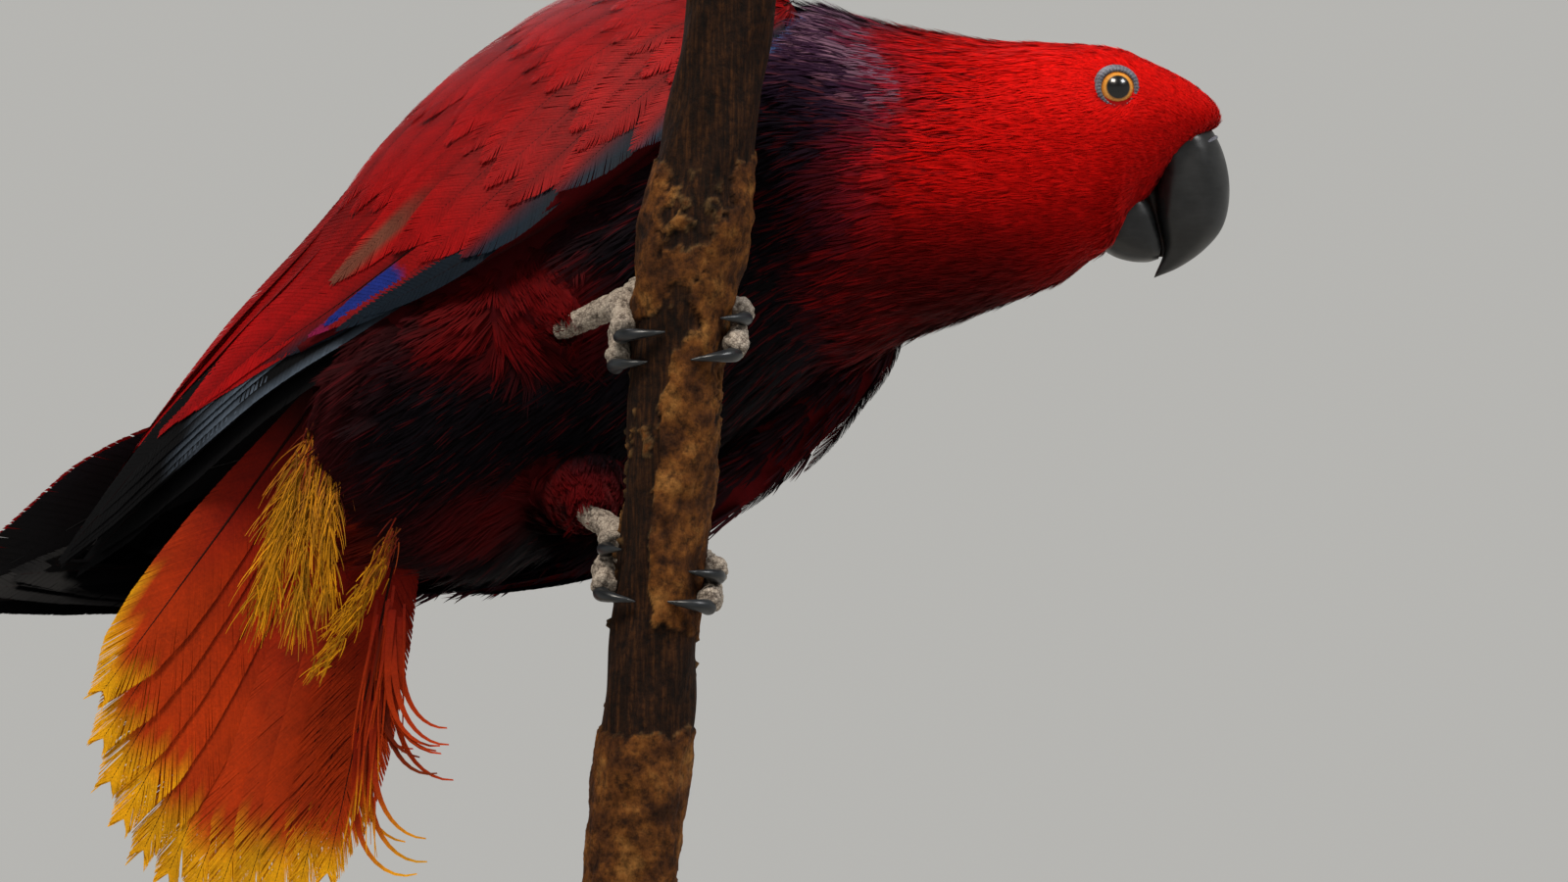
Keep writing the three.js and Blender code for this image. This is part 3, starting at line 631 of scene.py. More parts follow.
@dataclass(frozen=True)
class BarkFinish(Finish):
    """Peeling bark over smooth dry wood: tan flakes, dark smooth wood between, grey torn edges."""

    name: str = "wood_branch_peeling_bark"

    def build(self, add: Adder) -> bpy.types.Node:
        """Colour by how high the bark stands, with grain drawn along the branch at 0.6 mm.

        Args:
            add: adds a node to the material's tree.

        Returns:
            The shader's last node.
        """
        level = add("ShaderNodeAttribute", attribute_name="level").outputs["Fac"]
        edge = add("ShaderNodeAttribute", attribute_name="torn").outputs["Fac"]
        place = add("ShaderNodeTexCoord").outputs["Object"]
        along = add("ShaderNodeMapping", {"Vector": place, "Scale": (900, 900, 60)})
        fibre, blotch, pits = (
            add(
                "ShaderNodeTexNoise", {"Vector": way, "Scale": scale, "Detail": detail, "Roughness": rough}
            ).outputs["Fac"]
            for way, scale, detail, rough in (
                (along.outputs[0], 1.0, 6.0, 0.65), (place, 95.0, 6.0, 0.6), (place, 430.0, 8.0, 0.74),
            )
        )
        dark_stops = [(0.28, "0b0603"), (0.5, "241206"), (0.75, "4c2c12")]
        tan_stops = [(0.3, "1d0f06"), (0.43, "482810"), (0.54, "6a3f18"), (0.66, "8c5f2e")]
        wood = add("ShaderNodeValToRGB", {"Fac": fibre}, stops=dark_stops)
        bark = add("ShaderNodeValToRGB", {"Fac": blotch}, stops=tan_stops)
        face = add("ShaderNodeMix", {"Factor": level, "A": wood, "B": bark}, data_type="RGBA").outputs[2]
        worn = add("ShaderNodeMix", {"Factor": edge, "A": face, "B": linear("6a5232")}, data_type="RGBA")
        span = {"From Min": 0.38, "From Max": 0.58, "To Min": 0.28, "To Max": 1.2}
        dim = add("ShaderNodeMapRange", {"Value": pits, **span})
        shade = add("ShaderNodeVectorMath", {0: worn.outputs[2], "Scale": dim}, operation="SCALE")
        both = add("ShaderNodeMath", {0: fibre, 1: pits}, operation="ADD")
        bump = add("ShaderNodeBump", {"Height": both, "Strength": 0.9, "Distance": 0.0006})
        look = {"Roughness": 0.82, "Specular IOR Level": 0.14}
        return add("ShaderNodeBsdfPrincipled", {"Base Color": shade, "Normal": bump, **look})


@dataclass(frozen=True)
class StandFinish(Finish):
    """Sprayed enamel on board, off-white satin, with the faint orange peel of a sprayed coat."""

    name: str = "sprayed_enamel_stand"
    colour: str = "cfccc4"
    metallic: float = 0.0
    roughness: float = 0.42

    def build(self, add: Adder) -> bpy.types.Node:
        """Orange peel of about 2 mm, and dust that only shows in the roughness.

        Args:
            add: adds a node to the material's tree.

        Returns:
            The shader's last node.
        """
        place = add("ShaderNodeTexCoord").outputs["Object"]
        peel = add("ShaderNodeTexNoise", {"Vector": place, "Scale": 480.0, "Detail": 2.0}).outputs["Fac"]
        dust = add("ShaderNodeTexNoise", {"Vector": place, "Scale": 30.0, "Detail": 6.0}).outputs["Fac"]
        dulled = {"To Min": self.roughness - 0.06, "To Max": self.roughness + 0.1}
        rough = add("ShaderNodeMapRange", {"Value": dust, "From Min": 0.3, "From Max": 0.7, **dulled})
        bump = add("ShaderNodeBump", {"Height": peel, "Strength": 0.05, "Distance": 0.0002})
        look = {"Base Color": linear(self.colour), "Metallic": self.metallic, "Roughness": rough}
        return add("ShaderNodeBsdfPrincipled", {"Normal": bump, **look})


@dataclass(frozen=True)
class FloorFinish(Finish):
    """Matt studio floor that fades into the same pale light as the surround."""

    name: str = "studio_floor_matt"
    colour: str = "b9b8b4"
    pale: str = "d3d2ce"
    glow: float = 0.72

    def build(self, add: Adder) -> bpy.types.Node:
        """Painted floor near the stand, even light further out, so that no edge shows.

        Args:
            add: adds a node to the material's tree.

        Returns:
            The shader's last node.
        """
        place = add("ShaderNodeTexCoord").outputs["Object"]
        far = add("ShaderNodeVectorMath", {0: place}, operation="LENGTH").outputs["Value"]
        span = {"Value": far, "From Min": 0.28, "From Max": 0.7}
        fade = add("ShaderNodeMapRange", span, interpolation_type="SMOOTHSTEP")
        paint = add("ShaderNodeBsdfDiffuse", {"Color": linear(self.colour), "Roughness": 1.0})
        light = add("ShaderNodeEmission", {"Color": linear(self.pale), "Strength": self.glow})
        return add("ShaderNodeMixShader", {0: fade, 1: paint, 2: light})


PLUMAGE = PlumageFinish()
VANES = VaneFinish()
BILL_HORN = HornFinish()
CLAW_HORN = HornFinish(name="keratin_horn_claw", dark="0c0e10", light="262b30", roughness=0.34, line_mm=0.9)
FOOT_SKIN = SkinFinish()
LID_SKIN = SkinFinish(
    name="bird_skin_eye_ring", dark="16141a", middle="4c4b56", light="8f929c", grain_mm=0.3, roughness=0.45
)
MOUTH_SKIN = SkinFinish(
    name="bird_skin_mouth", dark="0c0807", middle="1d110d", light="5a3320", grain_mm=0.4, roughness=0.32,
    strength=0.2,
)
EYE = EyeFinish()
BARK = BarkFinish()
ENAMEL = StandFinish()
STEEL = StandFinish(name="brushed_stainless_steel_rod", colour="b9bcbf", metallic=1.0, roughness=0.3)
FLOOR = FloorFinish()


def dress(made: Piece, finish: Finish, replaced: tuple[str, ...] = ()) -> Piece:
    """Gives a piece its material, hangs it from the root body and hides the solids it stands for.

    Args:
        made: the piece.
        finish: its finish.
        replaced: the solids it stands for.

    Returns:
        The same piece.
    """
    made.data.materials.clear()
    made.data.materials.append(finish.material())
    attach(made, "root")
    if replaced:
        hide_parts(*replaced)
    LOG.info("%s: %d faces", made.name, len(made.data.polygons))
    return made


# The bird's frames


class Side(Enum):
    """A side of the bird, with its sign across the body for wings and along Y for the head."""

    RIGHT = "right"
    LEFT = "left"

    @property
    def wing_sign(self) -> int:
        """1 on the bird's right, where the wing table is drawn."""
        return 1 if self is Side.RIGHT else -1

    @property
    def head_sign(self) -> int:
        """-1 on the bird's right, which faces -Y."""
        return -1 if self is Side.RIGHT else 1


def axes_of(pitch: Array, roll: Array) -> tuple[Array, Array, Array]:
    """Axes of a body section.

    Args:
        pitch: rise of the long axis, in degrees.
        roll: turn of the back away from the viewer, in degrees.

    Returns:
        Unit vectors along the body, to its right side and to its back.
    """
    p, r = np.radians(pitch), np.radians(roll)
    zero = np.zeros_like(p)
    along = np.stack([np.cos(p), zero, np.sin(p)], axis=-1)
    back = np.stack([-np.sin(p) * np.cos(r), np.sin(r), np.cos(p) * np.cos(r)], axis=-1)
    return along, np.cross(along, back), back


@dataclass(frozen=True)
class Trunk:
    """The trunk's own frame."""

    centre: Triple = (4, 31, 183)
    pitch: float = 34
    roll: float = 50

    def point(self, along: Any, right: Any, back: Any) -> Array:
        """World points in the trunk's frame.

        Args:
            along: millimetres along the body.
            right: millimetres to its right.
            back: millimetres to its back.

        Returns:
            The points.
        """
        a, r, b = axes_of(np.array(self.pitch, float), np.array(self.roll, float))
        along, right, back = (np.asarray(n, float)[..., None] for n in (along, right, back))
        return np.array(self.centre) + along * a + right * r + back * b

    def place(self, points: Array) -> tuple[Array, Array, Array]:
        """The reverse of point.

        Args:
            points: world points.

        Returns:
            Millimetres along, to the right and to the back.
        """
        a, r, b = axes_of(np.array(self.pitch, float), np.array(self.roll, float))
        offset = points - np.array(self.centre)
        return offset @ a, offset @ r, offset @ b


TRUNK = Trunk()


@dataclass
class Body:
    """The flesh from vent to forehead: sections, and where a point lies among them."""

    trunk_sections: Table = (
        (-101, -17, 4, 3), (-97, -15.5, 15, 12), (-88, -11, 28, 22), (-76, -4, 42, 37),
        (-58, 3, 51, 46.5), (-30, 6, 54, 51), (0, 6.5, 54.5, 52), (27, 6, 54, 52),
    )
    neck_sections: Table = (
        (46.5, 29, 208.5, 22, 40, 50, 51.5, 2.05), (69.3, 21, 207, 6, 22, 38.5, 41.5, 2.1),
        (91.3, 12, 208, 0, 8, 31, 35.5, 2.2), (110, 5, 211, 0, 1, 26.5, 31, 2.3),
        (120, 2.5, 213.7, -2, 0, 24, 27.5, 2.4), (125.5, 1.5, 214.4, -4, 0, 22.5, 25.5, 2.4),
        (130.5, 1, 217, -8, 0, 20, 20, 2.4), (136.3, 1, 218.4, -12, 0, 16.7, 15.5, 2.3),
        (142, 1, 219.2, -24, 0, 12.6, 10.7, 2.2), (146.8, 1, 219.4, -40, 0, 8.4, 5.9, 2.1),
        (148.8, 1, 219.3, -55, 0, 4.0, 2.2, 2),
    )
    steps: int = 150
    sides: int = 96

    def __post_init__(self) -> None:
        """Works out the rows keyed by the distance along the line of centres."""
        rows = []
        for along, shift, width, depth in self.trunk_sections:
            rows.append([*TRUNK.point(along, 0, shift), TRUNK.pitch, TRUNK.roll, width, depth, 2])
        table = np.array(rows + [list(r) for r in self.neck_sections], float)
        walked = run_of(table[:, :3])
        self.rows = np.c_[walked, table]
        self.length = float(walked[-1])

    def stations(self, share: Array) -> tuple[Array, ...]:
        """The body's sections.

        Args:
            share: shares of the body's length.

        Returns:
            Centre, three axes, half width, half depth and squareness at each.
        """
        values = blend_rows(self.rows, share * self.length)
        along, right, back = axes_of(values[..., 3], values[..., 4])
        return values[..., :3], along, right, back, values[..., 5], values[..., 6], values[..., 7]

    def loft(self, inset: Callable[[Array], Array]) -> Surface:
        """The body's surface, drawn in by an inset.

        Args:
            inset: from the x of a section's centre to how far it is drawn in.

        Returns:
            The closed surface.
        """
        share = np.linspace(0, 1, self.steps)
        share = share - 0.06 * np.sin(2 * np.pi * share)
        centre, _, right, back, width, depth, power = self.stations(share)
        angle = turns(self.sides)
        cut = inset(centre[:, 0])
        c, s = np.cos(angle)[None], np.sin(angle)[None]
        fold = (2 / power)[:, None]
        first = np.sign(c) * np.abs(c) ** fold * np.maximum(width - cut, 0.4)[:, None]
        second = np.sign(s) * np.abs(s) ** fold * np.maximum(depth - cut, 0.3)[:, None]
        points = centre[:, None] + first[..., None] * right[:, None] + second[..., None] * back[:, None]
        return Surface.grid(points)

    def place(self, points: Array) -> tuple[Array, Array, Array]:
        """Where points lie among the body's sections.

        Args:
            points: world points.

        Returns:
            Share of the body's length, angle round it and direction along it.
        """
        sections, block = 160, 20000
        share = np.linspace(0, 1, sections)
        centre, along, right, back, width, depth, _ = self.stations(share)
        best = np.empty(len(points), int)
        for start in range(0, len(points), block):
            offset = points[start : start + block, None] - centre[None]
            ahead = np.abs(np.einsum("psk,sk->ps", offset, along))
            away = np.linalg.norm(offset, axis=2)
            best[start : start + block] = np.argmin(ahead + 0.08 * away, axis=1)
        offset = points - centre[best]
        sine = np.einsum("pk,pk->p", offset, back[best]) / depth[best]
        cosine = np.einsum("pk,pk->p", offset, right[best]) / width[best]
        return share[best], np.arctan2(sine, cosine), along[best]


@dataclass(frozen=True)
class Leg:
    """One leg's places: thigh, heel, foot pad and toes as side, heights, end angle and claw drop."""

    side: Side
    thigh: Triple
    heel: Triple
    pad: tuple[float, float]
    toes: Table
    thigh_radius: float = 15


RIGHT_LEG = Leg(
    Side.RIGHT, (-24, 8, 181), (-15.5, -23, 168.5), (176, 30),
    ((1, 178, 167.5, 118, 1), (1, 171, 160, 98, 1), (-1, 175, 163, 118, -1.5), (-1, 178, 172, 84, 0)),
)
LEFT_LEG = Leg(
    Side.LEFT, (-12, 22, 131), (-10, -21, 121.5), (113, 30),
    ((1, 111, 103, 106, -2), (1, 117, 114, 74, 0), (-1, 112, 107, 96, 1.5), (-1, 106, 99.5, 122, 1.5)),
)


def tube(centres: Array, radii: Array, reference: Array, squash: float = 1.0, sides: int = 20) -> Surface:
    """A closed tube along points.

    Args:
        centres: steps x 3.
        radii: half width across the reference, at each step.
        reference: a direction at each step, or one for all, that the tube's first side faces.
        squash: how deep the tube is along its reference, against its width.
        sides: points in a ring.

    Returns:
        The surface.
    """
    ahead = unit(np.gradient(centres, axis=0))
    face = np.broadcast_to(reference, centres.shape)
    out = unit(face - dots(face, ahead) * ahead)
    across = np.cross(ahead, out)
    angle = turns(sides)
    rings = (
        centres[:, None]
        + (radii * squash)[:, None, None] * np.cos(angle)[None, :, None] * out[:, None]
        + radii[:, None, None] * np.sin(angle)[None, :, None] * across[:, None]
    )
    return Surface.grid(rings)


def thigh_tube(leg: Leg, inset: float) -> Surface:
    """A thigh from the belly down to its heel.

    Args:
        leg: the leg.
        inset: how far the surface is drawn in.

    Returns:
        The closed surface.
    """
    k = np.linspace(0, 1, 24)
    shape = np.interp(k, [0, 0.25, 0.5, 0.75, 1], [1, 1, 0.86, 0.6, 0.42])
    start, heel = np.array(leg.thigh, float), np.array(leg.heel, float)
    centres = start + (heel - start) * (k * 0.94)[:, None]
    return tube(centres, leg.thigh_radius * shape - inset, np.array([0.0, 0, 1]), sides=28)


# Markings


@dataclass(frozen=True)
class Markings:
    """The hen's colours: a red head, painted brighter on the crown as painted light and darker on the throat
    as painted shade, a dusky violet collar and belly, the belly partly painted shade, a painted sheen on the
    nape, dark red flanks, and an orange vent.
    """

    head: str = "b90704"
    # painted light: the crown is painted brighter where the light from above falls
    crown_painted_lit: str = "d20c06"
    # painted shade: the throat is painted dark where the light from above does not reach
    throat_painted_shade: str = "480203"
    # painted sheen: the nape is painted paler and pinker on the upper side
    nape_painted_sheen: str = "3a2036"
    collar: str = "210f22"
    # partly painted shade: the belly's dusky violet is darkened to the shade under the bird
    belly: str = "0b070c"
    dust: str = "644858"
    flank: str = "2a0407"
    back: str = "6b070a"
    thigh: str = "560305"
    vent: str = "9c2a0a"
    bend: str = "5578b4"
    collar_x: float = 74

    def paint(self, points: Array, share: Array, angle: Array) -> tuple[Array, Array, Array]:
        """Colours over the body, with painted light on the crown, painted shade on the throat and belly, and
        a painted sheen on the nape.

        Args:
            points: world points in millimetres.
            share: place along the body; not used.
            angle: place round it, 0 on the bird's right and a quarter turn at its back.

        Returns:
            Base colour, streak colour and the chance of the streak, for each point.
        """
        a, _, _ = TRUNK.place(points)
        x, y, z = points.T
        ventral = -np.sin(angle)
        wave = 2.2 * np.sin(z * 0.21 + 1.3) + 1.6 * np.sin(y * 0.33)
        edge = x - self.collar_x + wave + 17 * np.clip(ventral, 0, 1)
        red = smooth(-14, 12, edge)
        upper = np.sin(angle)
        # top: where the head's upper side takes the crown's painted light
        top = smooth(-0.1, 0.8, upper) * smooth(85, 110, x)
        # low: where the head's under side takes the throat's painted shade
        low = smooth(0.05, 0.95, ventral) * smooth(135, 95, x)
        head = mix(mix(rgb(self.head), rgb(self.crown_painted_lit), top), rgb(self.throat_painted_shade), low)
        # the under side takes the belly's colour, which is partly painted shade
        collar = mix(rgb(self.collar), rgb(self.belly), smooth(-0.25, 0.55, ventral) * smooth(75, 40, x))
        # the upper side takes the nape's painted sheen
        collar = mix(collar, rgb(self.nape_painted_sheen), smooth(-0.1, 0.7, upper) * smooth(20, 45, x))
        # the belly's colour again on the rear underside, partly painted shade
        collar = mix(collar, rgb(self.belly), smooth(30, 0, a) * smooth(-0.2, 0.3, ventral))
        turn = np.degrees(angle)
        right = smooth(-50, -18, turn) * smooth(100, 80, turn)
        left = np.clip(smooth(-146, -168, turn) + smooth(150, 165, turn), 0, 1)
        rear = smooth(-66, -90, a)
        flank = np.clip((right + left) * smooth(34, 0, a) + rear, 0, 1)
        base = mix(collar, rgb(self.flank), flank)
        base = mix(base, rgb(self.back), smooth(0.15, 0.5, upper) * smooth(32, 12, a))
        knees = sum(
            smooth(26, 10, np.linalg.norm((points - np.array(place, float)) * (0.7, 1, 1.3), axis=1))
            for place in ((-22, -16, 175), (-16, -6, 120))
        )
        base = mix(base, rgb(self.thigh), np.clip(knees, 0, 1))
        base = mix(base, rgb(self.vent), smooth(-86, -98, a) * smooth(0.1, 0.6, ventral))
        base = mix(base, head, red)
        bend = smooth(8, 4, np.hypot(x - 42, (z - 248) * 0.6)) * (y < 25)
        base = mix(base, rgb(self.bend), bend)
        near = np.exp(-((edge / 17) ** 2))
        behind = smooth(0.65, 0.35, red)
        dust = smooth(-0.2, 0.5, upper) * smooth(15, 40, x)
        other = mix(rgb("3f050a") * np.ones((len(x), 1)), rgb(self.dust), dust)
        other = mix(rgb("6d0508") * np.ones((len(x), 1)), other, behind)
        chance = behind * (0.07 + 0.32 * near + 0.15 * dust) + (1 - behind) * 0.4 * near
        chance = chance * smooth(-30, 30, a) + 0.06 * smooth(30, -30, a)
        return base, other, np.clip(chance * (1 - bend), 0, 1)


MARKINGS = Markings()


# The coat


@dataclass
class Tufts:
    """A few small bunches of tapered blades, one unit long, that the coat is laid from."""

    blades: int = 8
    fan: float = 0.22
    half: float = 0.055
    fine: bool = False
    kinds: int = 4
    seed: int = 11

    def build(self, name: str) -> bpy.types.Collection:
        """Makes the bunches in a collection of their own, which is not linked to the scene.

        Args:
            name: the collection's name.

        Returns:
            The collection.
        """
        draw = np.random.default_rng(self.seed)
        held = bpy.data.collections.new(name)
        stations = ((0.0, 0.7), (0.5, 1.0)) if self.fine else ((0.0, 0.6), (0.36, 1.0), (0.72, 0.75))
        for kind in range(self.kinds):
            points, faces, vane = [], [], []
            for blade in range(self.blades):
                across = (blade + 0.5) / self.blades - 0.5 + draw.normal(0, 0.03)
                reach = 1 - 0.5 * abs(across) ** 1.5 - draw.uniform(0, 0.22)
                turn = self.fan * across * 2 + draw.normal(0, 0.07)
                bend = draw.normal(0, 0.08)
                lift = 0.05 + draw.uniform(-0.02, 0.05)
                half = self.half * draw.uniform(0.8, 1.25)
                s = len(points)
                for k, wide in stations:
                    y = across * 0.62 + (math.sin(turn) * k + bend * k * k)
                    z = lift * math.sin(math.pi * k * 0.9) + 0.05 * (0.25 - across * across)
                    for way in (-1, 1):
                        points.append((reach * k, y + way * half * wide, z))
                        vane.append((k, blade / self.blades, 0))
                points.append((reach, across * 0.62 + math.sin(turn) + bend, 0.0))
                vane.append((1.0, blade / self.blades, 0))
                last = s + 2 * len(stations)
                faces += [(n, n + 2, n + 3, n + 1) for n in range(s, last - 2, 2)]
                faces.append((last - 2, last, last - 1))
            mesh = bpy.data.meshes.new(f"{name}_{kind}")
            mesh.from_pydata(points, [], faces)
            mesh.polygons.foreach_set("use_smooth", np.full(len(faces), True))
            store(mesh, vane=np.array(vane))
            held.objects.link(bpy.data.objects.new(mesh.name, mesh))
        return held


@dataclass
class Coat:
    """Body feathers laid over a skin that carries lie, reach, breadth, density and tint attributes."""

    tufts: bpy.types.Collection
    lift: float = 9.0
    seed: int = 3
    patch: float = 0.003
    tree: bpy.types.NodeTree = field(init=False)
    sockets: dict[str, str] = field(init=False, default_factory=dict)

    def __post_init__(self) -> None:
        """Builds the node tree, with its named inputs."""
        self.tree = bpy.data.node_groups.new("lay_feathers", "GeometryNodeTree")
        wanted = {
            "Geometry": "Geometry", "Tufts": "Collection", "Density": "Float", "Seed": "Int", "Lift": "Float",
            "Patch": "Float", "Material": "Material",
        }
        for label, kind in wanted.items():
            made = self.tree.interface.new_socket(label, in_out="INPUT", socket_type="NodeSocket" + kind)
            self.sockets[label] = made.identifier
        self.tree.interface.new_socket("Geometry", in_out="OUTPUT", socket_type="NodeSocketGeometry")
        self.wire()

    def wire(self) -> None:
        """Scatters points, turns a tuft along the lie at each, and gives each its patch of the bake map."""
        add = partial(add_node, self.tree)
        given = add("NodeGroupInput").outputs
        kinds = {
            "dense": "FLOAT", "reach": "FLOAT", "breadth": "FLOAT", "lie": "FLOAT_VECTOR",
            "vane": "FLOAT_VECTOR", "root_uv": "FLOAT_VECTOR",
        }
        read = {
            name: add("GeometryNodeInputNamedAttribute", {"Name": name}, data_type=kind)
            for name, kind in kinds.items()
        }
        ranges = {
            "share": (0.0, 1.0, 5), "tilt": (-0.4, -1.6, 7), "roll": (-0.16, 0.16, 8),
            "yaw": (-0.17, 0.17, 9), "stretch": (0.72, 1.22, 12),
        }
        drawn = {
            name: add("FunctionNodeRandomValue", {2: low, 3: high, "Seed": n}, data_type="FLOAT").outputs[1]
            for name, (low, high, n) in ranges.items()
        }
        which = add("FunctionNodeRandomValue", {4: 0, 5: 3, "Seed": 13}, data_type="INT").outputs[2]
        dense = add("ShaderNodeMath", {0: read["dense"], 1: given["Density"]}, operation="MULTIPLY")
        spread = add(
            "GeometryNodeDistributePointsOnFaces",
            {"Mesh": given["Geometry"], "Density": dense, "Seed": given["Seed"]}, distribute_method="RANDOM",
        )
        kept = add(
            "GeometryNodeStoreNamedAttribute",
            {"Geometry": spread.outputs["Points"], "Name": "draw", "Value": drawn["share"]},
            data_type="FLOAT", domain="POINT",
        )
        upright = add("FunctionNodeAlignRotationToVector", {"Vector": spread.outputs["Normal"]}, axis="Z")
        along = {"Rotation": upright, "Vector": read["lie"]}
        laid = add("FunctionNodeAlignRotationToVector", along, axis="X", pivot_axis="Z")
        tilt = add("ShaderNodeMath", {0: given["Lift"], 1: drawn["tilt"]}, operation="MULTIPLY")
        turn = add("ShaderNodeCombineXYZ", {"X": drawn["roll"], "Y": tilt, "Z": drawn["yaw"]})
        euler = add("FunctionNodeEulerToRotation", {0: turn})
        stray = {"Rotation": laid, "Rotate By": euler}
        final = add("FunctionNodeRotateRotation", stray, rotation_space="LOCAL")
        length = add("ShaderNodeMath", {0: read["reach"], 1: drawn["stretch"]}, operation="MULTIPLY")
        size = add("ShaderNodeCombineXYZ", {"X": length, "Y": read["breadth"], "Z": read["breadth"]})
        bunches = add(
            "GeometryNodeCollectionInfo",
            {"Collection": given["Tufts"], "Separate Children": True, "Reset Children": True},
        )
        grown = add(
            "GeometryNodeInstanceOnPoints",
            {
                "Points": kept, "Instance": bunches, "Pick Instance": True, "Instance Index": which,
                "Rotation": final, "Scale": size,
            },
        )
        real = add("GeometryNodeRealizeInstances", {"Geometry": grown})
        patch = add("ShaderNodeVectorMath", {0: read["vane"], "Scale": given["Patch"]}, operation="SCALE")
        spot = add("ShaderNodeVectorMath", {0: read["root_uv"], 1: patch}, operation="ADD")
        mapped = add(
            "GeometryNodeStoreNamedAttribute", {"Geometry": real, "Name": "OFBake", "Value": spot},
            data_type="FLOAT2", domain="CORNER",
        )
        dyed = add("GeometryNodeSetMaterial", {"Geometry": mapped, "Material": given["Material"]})
        add("NodeGroupOutput", {0: dyed})

    def lay(self, skin: Piece, name: str, density: float) -> Piece:
        """One coat piece over the part of the skin whose density is above nothing.

        Args:
            skin: the skin, which is left as it is.
            name: the piece's name.
            density: tufts for each square metre where the skin's density is 1.

        Returns:
            The piece as a plain mesh.
        """
        copy = placed(name + "_bed", skin.data.copy())
        layer = copy.modifiers.new("Feathers", "NODES")
        layer.node_group = self.tree
        values = {
            "Tufts": self.tufts, "Density": density, "Seed": self.seed + sum(map(ord, name)) % 97,
            "Lift": math.radians(self.lift), "Patch": self.patch, "Material": PLUMAGE.material(),
        }
        for label, value in values.items():
            layer[self.sockets[label]] = value
        return plain_copy(copy, name)


